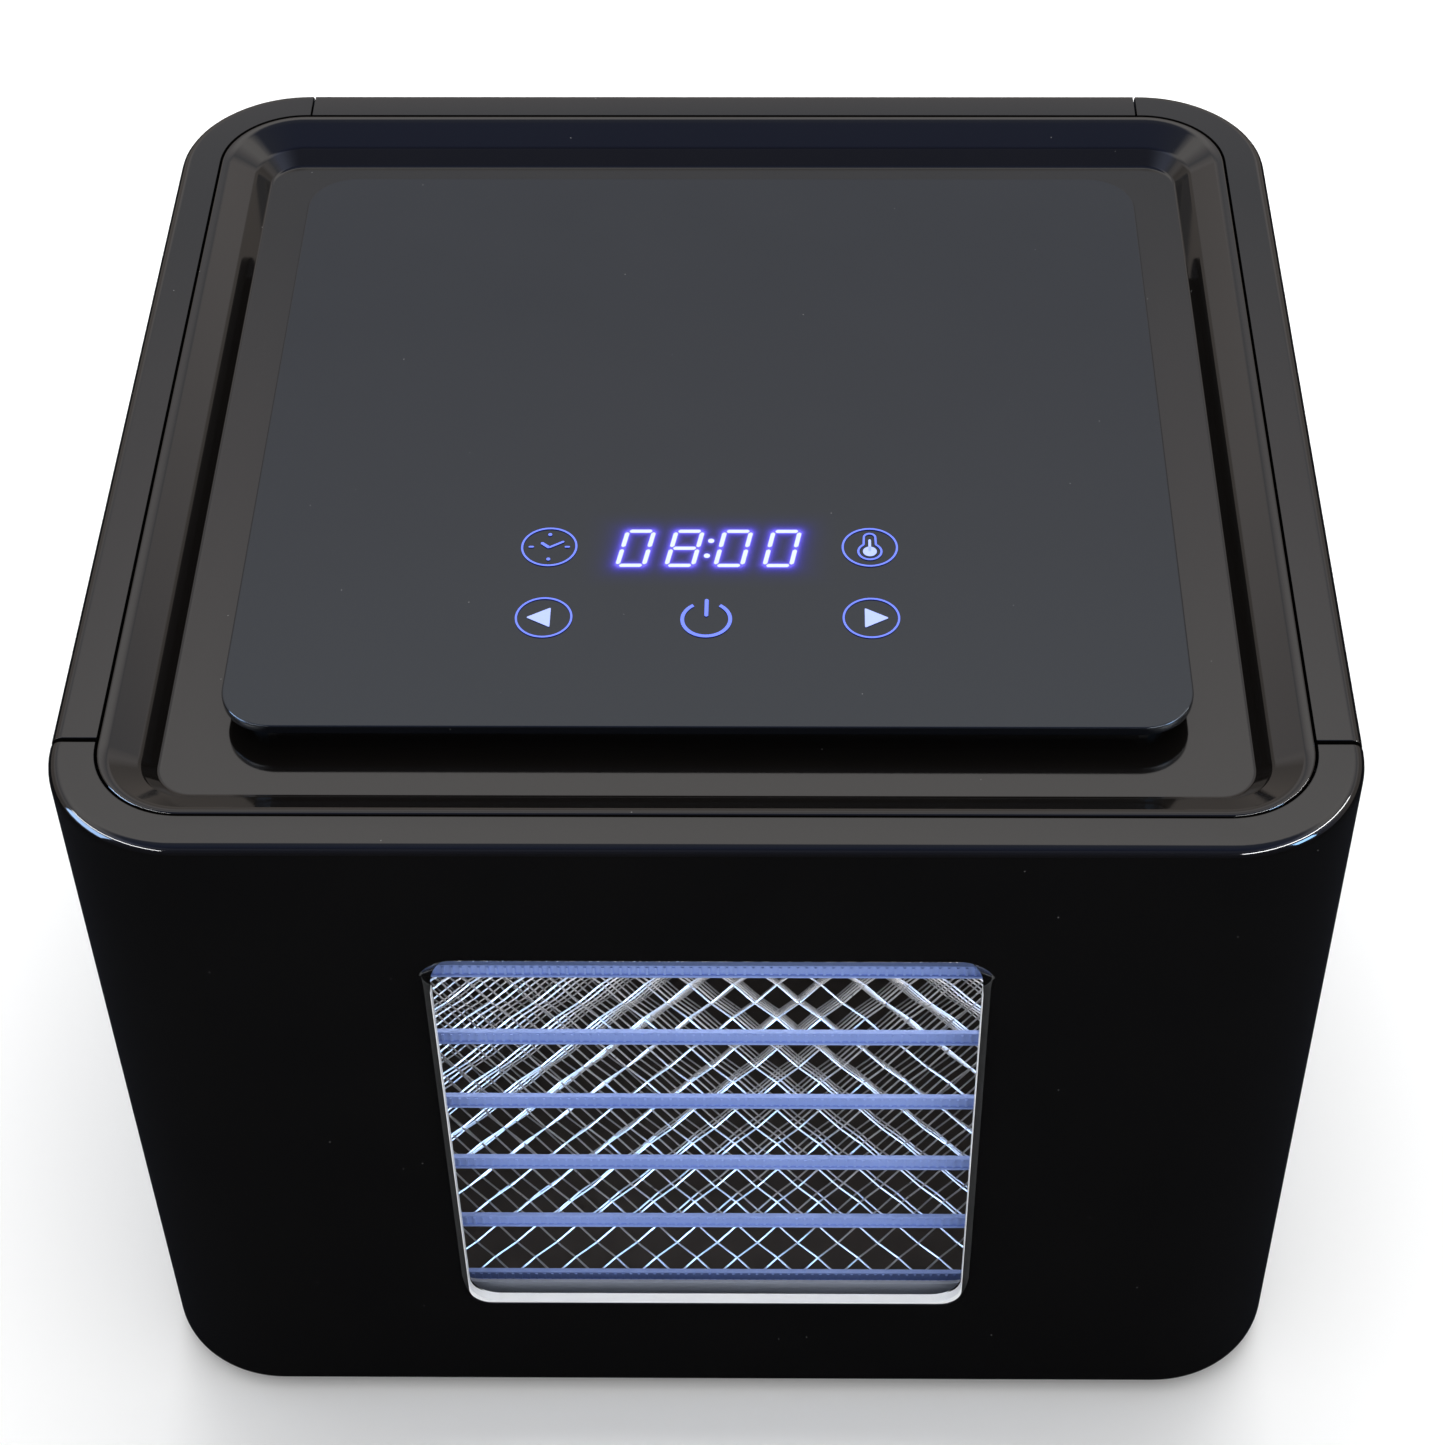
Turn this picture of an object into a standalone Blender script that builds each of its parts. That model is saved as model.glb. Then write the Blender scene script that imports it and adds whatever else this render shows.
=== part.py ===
"""Food dehydrator: a square counter-top dryer with a hinged window door, six slide-in mesh trays
and a touch panel on top. Metres, +Z up, front towards -Y, origin under the middle of the feet."""

from math import cos, pi, radians, sin, sqrt

import bmesh
import bpy
from mathutils import Matrix, Vector

# Casing
WIDTH = 0.322
DEPTH = 0.310
SHELL_HEIGHT = 0.231
FOOT_HEIGHT = 0.006
WALL = 0.0025
CORNER_RADIUS = 0.035
CORNER_STEPS = 8
EDGE_RADIUS = 0.0025
BOTTOM_EDGE_RADIUS = 0.0015
RIM_WIDTH = 0.0115
BASE_FLANGE = 0.014
DOOR_DEPTH = 0.036
REAR_SEAM_INSET = 0.036

# Clearances
FIT_GAP = 0.0003
SHELL_SEAM = 0.0006
DOOR_SEAM = 0.0012
RUNNING_GAP = 0.0003
CUT_OVERRUN = 0.002

# Top: a shallow dish with the control panel standing in it
DISH_LIP = 0.0018
DISH_SLOPE = 0.012
DISH_DROP = 0.0087
DISH_WALL = 0.0022
DISH_SKIRT = 0.005
PANEL_WIDTH = 0.242
PANEL_FRONT_INSET = 0.0415
PANEL_BACK_INSET = 0.043
PANEL_CORNER = 0.0135
PANEL_THICKNESS = 0.003
PANEL_EDGE = 0.0006
PEDESTAL_INSET = 0.006
PEDESTAL_WALL = 0.002
BOARD_WIDTH = 0.120
BOARD_DEPTH = 0.062
BOARD_THICKNESS = 0.001
BOARD_AHEAD_OF_DISPLAY = 0.012
DISPLAY_WIDTH = 0.0503
DISPLAY_DEPTH = 0.019
DISPLAY_FROM_FRONT = 0.1065
DISPLAY_OFF_CENTRE = -0.0005

# Door window
WINDOW_WIDTH = 0.146
WINDOW_HEIGHT = 0.151
WINDOW_ABOVE_SHELL = 0.0395
WINDOW_CORNER = 0.006
WINDOW_SIDE_REVEAL = 0.004
WINDOW_END_REVEAL = 0.0004
PANE_OVERLAP = 0.006
PANE_THICKNESS = 0.003
LINER_BORDER = 0.006
LINER_LIP = 0.001
GASKET_WIDTH = 0.003
GASKET_OUT = 0.0025
GASKET_CORNER = 0.006
GASKET_SEAT = 0.0052

# Door hinge, magnet catch
PIVOT_INSET = 0.0025
PIVOT_FORWARD = 0.0025
HINGE_FROM_END = 0.022
LUG_RADIUS = 0.0024
LUG_THICKNESS = 0.003
LUG_REACH = 0.016
LUG_BACK = 0.014
LUG_ARM_START = 0.0055
PIN_RADIUS = 0.0014
PIN_HEAD_RADIUS = 0.0021
PIN_HEAD = 0.0012
BOSS_HEIGHT = 0.012
BOSS_CLEARANCE = 0.002
BRACKET_ARM = 0.008
BRACKET_REACH = 0.014
BRACKET_PLATE_HEIGHT = 0.016
NOTCH_DEPTH = 0.0058
LEFT_SEAM_CHAMFER = 0.0026
RIGHT_SEAM_CHAMFER = 0.0014
CATCH_WIDTH = 0.013
CATCH_HEIGHT = 0.020
CATCH_THICKNESS = 0.002
CATCH_FROM_WALL = 0.002
CATCH_MARGIN = 0.002
CATCH_BOSS_DEPTH = 0.010

# Drying chamber and trays
CHAMBER_WIDTH = 0.264
CHAMBER_FLOOR_Z = 0.020
CEILING_UNDER_DISH = 0.0191
SHEET = 0.0012
COLLAR_WALL = 0.002
COLLAR_CORNER = 0.005
COLLAR_BACK_FROM_FACE = 0.014
FRAME_THICKNESS = 0.002
BULKHEAD_FROM_BACK = 0.0507
BULKHEAD_SIDE_GAP = 0.0085
BULKHEAD_SHEET = 0.0015
TRAY_COUNT = 6
TOP_TRAY_ROOM = 0.0286
LOWEST_TRAY_Z = 0.0414
TRAY_SIDE_GAP = 0.004
TRAY_BACK_GAP = 0.007
TRAY_THICKNESS = 0.004
TRAY_BORDER = 0.006
TRAY_BAR = 0.002
TRAY_OPENINGS_ACROSS = 8
TRAY_OPENINGS_DEEP = 3
TRAY_BACK_FROM_FACE = 0.012
RUNNER_WIDTH = 0.008
RUNNER_THICKNESS = 0.0015
DRIP_TRAY_SIDE_GAP = 0.006
DRIP_TRAY_HEIGHT = 0.010
DRIP_TRAY_SHEET = 0.0012
DRIP_TRAY_CORNER = 0.006

# Air mover and heater, behind the bulkhead
FAN_RADIUS = 0.052
FAN_HUB_RADIUS = 0.013
FAN_BLADES = 7
FAN_BLADE_CHORD = 0.020
FAN_BLADE_THICKNESS = 0.0016
FAN_BLADE_PITCH = radians(28)
FAN_DEPTH = 0.011
FAN_STANDOFF = 0.0062
FAN_TO_BRACKET = 0.003
SHAFT_RADIUS = 0.0025
SHAFT_PROUD = 0.001
MOTOR_RADIUS = 0.024
MOTOR_LENGTH = 0.0195
MOTOR_BORE_DEPTH = 0.013
BRACKET_FROM_FAN = 0.026
BRACKET_HEIGHT = 0.022
BRACKET_SHEET = 0.002
BRACKET_TOE = 0.012
HEATER_INNER_RADIUS = 0.024
HEATER_OUTER_RADIUS = 0.056
HEATER_TURNS = 3
HEATER_WIRE_RADIUS = 0.001
COIL_STEPS = 24
MICA_OVERHANG = 0.008
MICA_WIDTH = 0.010
MICA_THICKNESS = 0.001
CUTOUT_ASIDE = 0.024
CUTOUT_ABOVE_FAN = 0.030
CUTOUT_RADIUS = 0.008
CUTOUT_DEPTH = 0.005
CUTOUT_TAB = 0.006
GRILLE_OVER_FAN = 0.006
GRILLE_SLOT = 0.006
GRILLE_PITCH = 0.013
INTAKE_SLOT_WIDTH = 0.096
INTAKE_SLOT_HEIGHT = 0.004
INTAKE_SLOT_PITCH = 0.010
INTAKE_SLOTS = 9
EXHAUST_SLOTS = 10
EXHAUST_SLOT_HEIGHT = 0.014
EXHAUST_FROM_RIM = 0.032

# Driver board and its leads
BOARD_X = -0.121
BOARD_STAND_OFF = 0.0055
POWER_BOARD_WIDTH = 0.048
POWER_BOARD_HEIGHT = 0.086
POWER_BOARD_THICKNESS = 0.0016
BOARD_BLOCKS = (("transformer", (-0.006, 0.017), (0.024, 0.026), 0.016),
                ("relay", (-0.006, -0.021), (0.018, 0.018), 0.015))
CAPACITOR_AT = (0.015, -0.014)
CAPACITOR_RADIUS = 0.005
CAPACITOR_HEIGHT = 0.014
BOARD_PEG_INSET = 0.005
BOARD_PEG_RADIUS = 0.003
LEAD_RADIUS = 0.0022
LEAD_STEPS = 4
LEAD_HOLE_X = -0.122
LEAD_THROUGH_BULKHEAD = 3
PANEL_HOLE_X = 0.022

# Mains inlet, feet, screws
INLET_X = 0.078
INLET_Z = 0.042
INLET_WIDTH = 0.030
INLET_HEIGHT = 0.022
INLET_LENGTH = 0.022
INLET_WALL = 0.0028
INLET_FLANGE = 0.004
INLET_FLANGE_DEPTH = 0.003
INLET_RECESS = 0.015
INLET_PIN_PITCH = 0.007
INLET_PIN_WIDTH = 0.002
INLET_PIN_HEIGHT = 0.004
INLET_PIN_LEVEL = 0.0015
INLET_EARTH_RAISE = 0.003
INLET_PIN_BACK = 0.003
FOOT_RADIUS = 0.009
FOOT_SOLE_RADIUS = 0.008
FOOT_INSET = 0.034
SCREW_RADIUS = 0.0015
SCREW_HEAD_RADIUS = 0.0034
SCREW_HEAD = 0.0012
SCREW_LENGTH = 0.010
SCREW_IN_FROM_SEAM = 0.012
SCREW_FROM_END = 0.024
TAB_ROOT = 0.006
TAB_HEIGHT = 0.014
TAB_THICKNESS = 0.006

# Worked out from the above
HALF_W = WIDTH / 2
FRONT_Y = -DEPTH / 2
BACK_Y = DEPTH / 2
SHELL_Z = FOOT_HEIGHT
RIM_Z = FOOT_HEIGHT + SHELL_HEIGHT
INNER_X = HALF_W - WALL
INNER_FRONT_Y = FRONT_Y + WALL
INNER_BACK_Y = BACK_Y - WALL
DOOR_BACK_Y = FRONT_Y + DOOR_DEPTH
BODY_FRONT_Y = DOOR_BACK_Y + DOOR_SEAM
DISH_INSET = RIM_WIDTH + SHELL_SEAM
DISH_FLOOR_Z = RIM_Z - DISH_DROP
DISH_UNDER_Z = DISH_FLOOR_Z - DISH_WALL
PANEL_FRONT_Y = FRONT_Y + PANEL_FRONT_INSET
PANEL_BACK_Y = BACK_Y - PANEL_BACK_INSET
PANEL_UNDER_Z = RIM_Z - PANEL_THICKNESS
PIVOT = Vector((-HALF_W + PIVOT_INSET, DOOR_BACK_Y - PIVOT_FORWARD, 0))
WINDOW_Z = SHELL_Z + WINDOW_ABOVE_SHELL + WINDOW_HEIGHT / 2
PANE_FRONT_Y = INNER_FRONT_Y + FIT_GAP
PANE_BACK_Y = PANE_FRONT_Y + PANE_THICKNESS
LINER_BACK_Y = PANE_BACK_Y + FIT_GAP + LINER_LIP
COLLAR_FRONT_Y = FRONT_Y + COLLAR_BACK_FROM_FACE
GASKET_FRONT_Y = FRONT_Y + GASKET_SEAT
FRAME_FRONT_Y = BODY_FRONT_Y + FIT_GAP
FRAME_BACK_Y = FRAME_FRONT_Y + FRAME_THICKNESS
CHAMBER_FRONT_Y = FRAME_BACK_Y + FIT_GAP
BULKHEAD_FRONT_Y = BACK_Y - BULKHEAD_FROM_BACK
BULKHEAD_BACK_Y = BULKHEAD_FRONT_Y + BULKHEAD_SHEET
BULKHEAD_HALF_W = INNER_X - BULKHEAD_SIDE_GAP
CHAMBER_BACK_Y = BULKHEAD_FRONT_Y - FIT_GAP
CHAMBER_CEILING_Z = DISH_UNDER_Z - CEILING_UNDER_DISH
BASE_TOP_Z = SHELL_Z + WALL + FIT_GAP + FRAME_THICKNESS
FAN_Z = (CHAMBER_FLOOR_Z + CHAMBER_CEILING_Z) / 2
FAN_FRONT_Y = BULKHEAD_BACK_Y + FAN_STANDOFF
FAN_BACK_Y = FAN_FRONT_Y + FAN_DEPTH
MOTOR_FRONT_Y = FAN_BACK_Y + FAN_TO_BRACKET + BRACKET_SHEET + FIT_GAP
BRACKET_SPAN = 2 * (FAN_RADIUS + BRACKET_FROM_FAN)
GRILLE_RADIUS = FAN_RADIUS + GRILLE_OVER_FAN
TRAY_FRONT_Y = FRONT_Y + TRAY_BACK_FROM_FACE
TRAY_DEPTH = CHAMBER_BACK_Y - TRAY_BACK_GAP - TRAY_FRONT_Y
TRAY_WIDTH = CHAMBER_WIDTH - 2 * TRAY_SIDE_GAP
TRAY_PITCH = (CHAMBER_CEILING_Z - LOWEST_TRAY_Z - TOP_TRAY_ROOM) / (TRAY_COUNT - 1)
DRIP_TRAY_WIDTH = CHAMBER_WIDTH - 2 * DRIP_TRAY_SIDE_GAP


def start_collection(name):
    group = bpy.data.collections.new(name)
    bpy.context.scene.collection.children.link(group)
    return group


for stale in list(bpy.data.objects):
    bpy.data.objects.remove(stale, do_unlink=True)
PARTS = start_collection("food_dehydrator")
CUTTERS = start_collection("cutters")


def finish(name, colour, roughness, metallic=0.0, alpha=1.0):
    made = bpy.data.materials.new(name)
    made.use_nodes = True
    shader = made.node_tree.nodes["Principled BSDF"]
    shader.inputs["Base Color"].default_value = (*colour, 1.0)
    shader.inputs["Roughness"].default_value = roughness
    shader.inputs["Metallic"].default_value = metallic
    shader.inputs["Alpha"].default_value = alpha
    return made


GLOSS_BLACK = finish("gloss_black", (0.010, 0.010, 0.012), 0.08)
SATIN_BLACK = finish("satin_black", (0.020, 0.020, 0.022), 0.45)
PANEL_GLASS = finish("panel_glass", (0.012, 0.013, 0.016), 0.05)
CLEAR_GLASS = finish("clear_glass", (0.80, 0.84, 0.86), 0.03, alpha=0.35)
STEEL = finish("steel", (0.62, 0.64, 0.68), 0.25, metallic=1.0)
DARK_STEEL = finish("dark_steel", (0.20, 0.20, 0.21), 0.40, metallic=1.0)
RUBBER = finish("rubber", (0.03, 0.03, 0.03), 0.85)
SILICONE = finish("silicone", (0.25, 0.25, 0.26), 0.65)
BOARD_GREEN = finish("board_green", (0.03, 0.16, 0.07), 0.50)
MICA = finish("mica", (0.46, 0.38, 0.26), 0.60)
NICHROME = finish("nichrome", (0.35, 0.33, 0.31), 0.45, metallic=1.0)
WHITE_PLASTIC = finish("white_plastic", (0.70, 0.70, 0.68), 0.40)


def place(name, mesh, location, surface=None):
    """Link a finished mesh as a part, or as a wire-frame cutter when it has no surface."""
    obj = bpy.data.objects.new(name, mesh)
    obj.location = location
    if surface is None:
        CUTTERS.objects.link(obj)
        obj.display_type = "WIRE"
        obj.hide_render = True
    else:
        PARTS.objects.link(obj)
        mesh.materials.append(surface)
    return obj


def bevel(mesh_data, edges, radius, steps):
    bmesh.ops.bevel(mesh_data, geom=edges, offset=radius, segments=steps, profile=0.5,
                    affect="EDGES", clamp_overlap=True)


def edges_along(mesh_data, axis, chosen):
    """Straight edges that run along one axis and whose middle passes the test."""
    found = []
    for edge in mesh_data.edges:
        run = edge.verts[1].co - edge.verts[0].co
        middle = (edge.verts[0].co + edge.verts[1].co) / 2
        if abs(abs(run[axis]) - run.length) < 1e-7 and chosen(middle):
            found.append(edge)
    return found


def block(name, low, high, surface=None, corner=0.0, axis=2, steps=CORNER_STEPS, chosen=None,
          top_edge=0.0, bottom_edge=0.0, edge_steps=2):
    """A box between two corners, with its edges along an axis rounded, and its rims if asked."""
    low, high = Vector(low), Vector(high)
    mesh_data = bmesh.new()
    bmesh.ops.create_cube(mesh_data, size=1.0)
    bmesh.ops.scale(mesh_data, vec=high - low, verts=mesh_data.verts)
    if corner > 0:
        bevel(mesh_data, edges_along(mesh_data, axis, chosen or (lambda middle: True)), corner, steps)
    for level, radius in ((high.z - low.z, top_edge), (low.z - high.z, bottom_edge)):
        if radius > 0:
            ring = [edge for edge in mesh_data.edges
                    if all(abs(vert.co.z - level / 2) < 1e-7 for vert in edge.verts)]
            bevel(mesh_data, ring, radius, edge_steps)
    mesh = bpy.data.meshes.new(name)
    mesh_data.to_mesh(mesh)
    mesh_data.free()
    return place(name, mesh, (low + high) / 2, surface)


def rod(name, radius, start, end, surface=None, sides=24, end_radius=None):
    """A straight round bar between two points, tapered when an end radius is given."""
    start, end = Vector(start), Vector(end)
    mesh_data = bmesh.new()
    bmesh.ops.create_cone(mesh_data, cap_ends=True, segments=sides, radius1=radius,
                          radius2=radius if end_radius is None else end_radius,
                          depth=(end - start).length)
    turn = Vector((0, 0, 1)).rotation_difference(end - start).to_matrix()
    bmesh.ops.transform(mesh_data, matrix=turn.to_4x4(), verts=mesh_data.verts)
    mesh = bpy.data.meshes.new(name)
    mesh_data.to_mesh(mesh)
    mesh_data.free()
    return place(name, mesh, (start + end) / 2, surface)


def combine(obj, other, operation):
    step = obj.modifiers.new(f"{operation.lower()}_{other.name}"[:60], "BOOLEAN")
    step.object = other
    step.operation = operation
    step.solver = "EXACT"


def cut(obj, *others):
    for other in others:
        combine(obj, other, "DIFFERENCE")


def join(obj, *others):
    for other in others:
        combine(obj, other, "UNION")


def keep(obj, other):
    combine(obj, other, "INTERSECT")


def carry(parent_name, centre, objects):
    """Hang moving parts on an empty that stands on their joint's axis."""
    pivot = bpy.data.objects.new(parent_name, None)
    pivot.location = centre
    PARTS.objects.link(pivot)
    bpy.context.view_layer.update()
    for obj in objects:
        obj.parent = pivot
        obj.matrix_parent_inverse = pivot.matrix_world.inverted()


def casing_blank(name):
    """The whole outer form, as a closed rounded box with soft top and bottom edges."""
    return block(name, (-HALF_W, FRONT_Y, SHELL_Z), (HALF_W, BACK_Y, RIM_Z), GLOSS_BLACK,
                 corner=CORNER_RADIUS, top_edge=EDGE_RADIUS, bottom_edge=BOTTOM_EDGE_RADIUS)


def casing_cavity():
    return block("casing_cavity", (-INNER_X, INNER_FRONT_Y, SHELL_Z + WALL),
                 (INNER_X, INNER_BACK_Y, RIM_Z - WALL), corner=CORNER_RADIUS - WALL)


def rim_hole():
    x, y = HALF_W - RIM_WIDTH, BACK_Y - RIM_WIDTH
    return block("rim_hole", (-x, -y, RIM_Z - WALL - CUT_OVERRUN), (x, y, RIM_Z + CUT_OVERRUN),
                 corner=CORNER_RADIUS - RIM_WIDTH)


def base_hole():
    x = HALF_W - BASE_FLANGE
    return block("base_hole", (-x, DOOR_BACK_Y - BASE_FLANGE, SHELL_Z - CUT_OVERRUN),
                 (x, BACK_Y - BASE_FLANGE, SHELL_Z + WALL + CUT_OVERRUN))


def seam_chamfer(name, side, size):
    """A square bar on edge, run down the door seam to ease the corners that swing past it."""
    y = (DOOR_BACK_Y + BODY_FRONT_Y) / 2
    half = size / sqrt(2)
    bar = block(name, (side * HALF_W - half, y - half, SHELL_Z - CUT_OVERRUN),
                (side * HALF_W + half, y + half, RIM_Z + CUT_OVERRUN))
    bar.rotation_euler.z = pi / 4
    return bar


def window_cutter():
    """The window opening: full size on the face, narrowing by the reveals through the wall."""
    grow = 1 + 2 * CUT_OVERRUN / WALL
    x = WINDOW_WIDTH / 2 - WINDOW_SIDE_REVEAL / 2
    z = WINDOW_HEIGHT / 2 - WINDOW_END_REVEAL / 2
    cutter = block("window_cutter", (-x, FRONT_Y - CUT_OVERRUN, WINDOW_Z - z),
                   (x, INNER_FRONT_Y + CUT_OVERRUN, WINDOW_Z + z), corner=WINDOW_CORNER, axis=1, steps=5)
    for vert in cutter.data.vertices:
        side = grow / 2 if vert.co.y < 0 else -grow / 2
        vert.co.x *= 1 + side * WINDOW_SIDE_REVEAL / x
        vert.co.z *= 1 + side * WINDOW_END_REVEAL / z
    return cutter


def skin_trim(name):
    """The casing's form a little under its outer skin, to trim what joins the inside of the wall."""
    skin = WALL / 2
    return block(f"{name}_trim", (-HALF_W + skin, FRONT_Y + skin, SHELL_Z), (HALF_W - skin, BACK_Y, RIM_Z),
                 corner=CORNER_RADIUS - skin)


def door_boss(name, low, high):
    """A block inside the door that reaches into its wall."""
    boss = block(name, low, high)
    keep(boss, skin_trim(name))
    return boss


def hinge_levels():
    """For each hinge: its name, the door lug's level and the side of it on which the bracket lies."""
    inner_low = SHELL_Z + WALL
    inner_high = DISH_UNDER_Z
    return (("lower", inner_low + HINGE_FROM_END, -1), ("upper", inner_high - HINGE_FROM_END, 1))


def stack(level, way, start, thickness):
    """Lower and upper heights of a layer that starts a distance from a lug's middle plane."""
    ends = sorted((level + way * start, level + way * (start + thickness)))
    return ends[0], ends[1]


def door_shell():
    shell = casing_blank("door_shell")
    cut(shell, bpy.data.objects["casing_cavity"], bpy.data.objects["rim_hole"])
    keep(shell, block("door_region", (-WIDTH, -DEPTH, -CUT_OVERRUN), (WIDTH, DOOR_BACK_Y, RIM_Z * 1.1)))
    cut(shell, bpy.data.objects["left_seam_chamfer"], bpy.data.objects["right_seam_chamfer"])
    cut(shell, window_cutter())
    join(shell, gasket_ring("gasket_rib", FRONT_Y, GASKET_FRONT_Y - FIT_GAP, trimmed=True))
    for end, level, way in hinge_levels():
        half = LUG_THICKNESS / 2
        low_z, high_z = stack(level, -way, half + FIT_GAP, BOSS_HEIGHT)
        join(shell, door_boss(f"{end}_hinge_boss", (-HALF_W, PIVOT.y - LUG_BACK, low_z),
                              (PIVOT.x + LUG_REACH, PIVOT.y - LUG_RADIUS - BOSS_CLEARANCE, high_z)))
        notch = 2 * LUG_THICKNESS + 4 * RUNNING_GAP + PIN_HEAD
        low_z, high_z = stack(level, way, -half - RUNNING_GAP, notch)
        cut(shell, block(f"{end}_hinge_notch", (-HALF_W - CUT_OVERRUN, DOOR_BACK_Y - NOTCH_DEPTH, low_z),
                         (-INNER_X + CUT_OVERRUN, DOOR_BACK_Y + CUT_OVERRUN, high_z)))
    back = catch_plane() - CATCH_THICKNESS - FIT_GAP
    left = INNER_X - CATCH_FROM_WALL - CATCH_WIDTH - CATCH_MARGIN
    middle, half = (SHELL_Z + RIM_Z) / 2, CATCH_HEIGHT / 2 + CATCH_MARGIN
    join(shell, door_boss("catch_boss", (left, back - CATCH_BOSS_DEPTH, middle - half),
                          (HALF_W, back, middle + half)))
    return shell


def catch_plane():
    """Where the strike plate on the door meets the magnet on the body."""
    return FRAME_FRONT_Y - FIT_GAP - CATCH_THICKNESS - FIT_GAP


def door_window():
    x = WINDOW_WIDTH / 2 + PANE_OVERLAP
    z = WINDOW_HEIGHT / 2 + PANE_OVERLAP
    return block("door_window", (-x, PANE_FRONT_Y, WINDOW_Z - z), (x, PANE_BACK_Y, WINDOW_Z + z),
                 CLEAR_GLASS, corner=WINDOW_CORNER, axis=1, steps=4)


def door_liner():
    """The ring that clamps the pane to the back of the door's face."""
    x = WINDOW_WIDTH / 2 + LINER_BORDER + PANE_OVERLAP
    z = WINDOW_HEIGHT / 2 + LINER_BORDER + PANE_OVERLAP
    ring = block("door_liner", (-x, PANE_FRONT_Y, WINDOW_Z - z), (x, LINER_BACK_Y, WINDOW_Z + z),
                 STEEL, corner=WINDOW_CORNER, axis=1, steps=4)
    x, z = WINDOW_WIDTH / 2, WINDOW_HEIGHT / 2
    cut(ring, block("liner_hole", (-x, FRONT_Y, WINDOW_Z - z), (x, LINER_BACK_Y + CUT_OVERRUN, WINDOW_Z + z),
                    corner=WINDOW_CORNER, axis=1, steps=4))
    x, z = x + PANE_OVERLAP + FIT_GAP, z + PANE_OVERLAP + FIT_GAP
    cut(ring, block("pane_rebate", (-x, FRONT_Y, WINDOW_Z - z), (x, PANE_BACK_Y + FIT_GAP, WINDOW_Z + z),
                    corner=WINDOW_CORNER, axis=1, steps=4))
    return ring


def gasket_ring(name, front_y, back_y, surface=None, trimmed=False):
    """A rectangular ring round the chamber mouth, for the gasket and the rib it sits on."""
    x = CHAMBER_WIDTH / 2 + GASKET_OUT
    low_z, high_z = CHAMBER_FLOOR_Z - GASKET_OUT, CHAMBER_CEILING_Z + GASKET_OUT
    wide = GASKET_WIDTH
    ring = block(name, (-x - wide, front_y, low_z - wide), (x + wide, back_y, high_z + wide), surface,
                 corner=GASKET_CORNER, axis=1, steps=3)
    if trimmed:
        keep(ring, skin_trim(name))
    cut(ring, block(f"{name}_hole", (-x, front_y - CUT_OVERRUN, low_z), (x, back_y + CUT_OVERRUN, high_z),
                    corner=GASKET_CORNER - wide / 2, axis=1, steps=3))
    return ring


def door_gasket():
    """Silicone lip on the door that closes against the front edge of the chamber collar."""
    return gasket_ring("door_gasket", GASKET_FRONT_Y, COLLAR_FRONT_Y - FIT_GAP, SILICONE)


def door_lug(end, level):
    """Steel knife hinge arm on the door: an eye on the pivot and an arm screwed over its boss."""
    half = LUG_THICKNESS / 2
    name = f"hinge_{end}_door_lug"
    lug = rod(name, LUG_RADIUS, PIVOT + Vector((0, 0, level - half)),
              PIVOT + Vector((0, 0, level + half)), DARK_STEEL)
    front_y, back_y = PIVOT.y - LUG_RADIUS * 0.9, PIVOT.y + LUG_RADIUS * 0.6
    neck = block(f"{name}_neck", (PIVOT.x, front_y, level - half),
                 (PIVOT.x + LUG_REACH / 2, back_y, level + half))
    arm = block(f"{name}_arm", (PIVOT.x + LUG_ARM_START, PIVOT.y - LUG_BACK, level - half),
                (PIVOT.x + LUG_REACH, back_y, level + half))
    join(lug, neck, arm)
    cut(lug, pin_bore(end, level))
    return lug


def pin_bore(end, level):
    name = f"hinge_{end}_bore"
    if name in bpy.data.objects:
        return bpy.data.objects[name]
    reach = 4 * LUG_THICKNESS
    return rod(name, PIN_RADIUS + RUNNING_GAP, PIVOT + Vector((0, 0, level - reach)),
               PIVOT + Vector((0, 0, level + reach)), sides=16)


def hinge_bracket(end, level, way):
    """Steel bracket on the body: an eye on the pivot, an arm through the frame and a fixing plate."""
    low_z, high_z = stack(level, way, LUG_THICKNESS / 2 + RUNNING_GAP, LUG_THICKNESS)
    name = f"hinge_{end}_bracket"
    bracket = rod(name, LUG_RADIUS, PIVOT + Vector((0, 0, low_z)),
                  PIVOT + Vector((0, 0, high_z)), DARK_STEEL)
    left, back = -INNER_X + FIT_GAP, FRAME_BACK_Y + FIT_GAP + BRACKET_SHEET
    arm = block(f"{name}_arm", (left, PIVOT.y - LUG_RADIUS / 2, low_z), (left + BRACKET_ARM, back, high_z))
    plate_low, plate_high = stack(level, way, LUG_THICKNESS / 2 + RUNNING_GAP, BRACKET_PLATE_HEIGHT)
    plate = block(f"{name}_plate", (left, FRAME_BACK_Y + FIT_GAP, plate_low),
                  (left + BRACKET_REACH, back, plate_high))
    join(bracket, arm, plate)
    cut(bracket, pin_bore(end, level))
    return bracket


def hinge_pin(end, level, way):
    outer = LUG_THICKNESS * 1.5 + 2 * RUNNING_GAP
    name = f"hinge_{end}_pin"
    pin = rod(name, PIN_RADIUS, PIVOT + Vector((0, 0, level - way * LUG_THICKNESS * 0.45)),
              PIVOT + Vector((0, 0, level + way * (outer + PIN_HEAD / 2))), STEEL, sides=16)
    head = rod(f"{name}_head", PIN_HEAD_RADIUS, PIVOT + Vector((0, 0, level + way * outer)),
               PIVOT + Vector((0, 0, level + way * (outer + PIN_HEAD))), sides=16)
    join(pin, head)
    return pin


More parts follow.
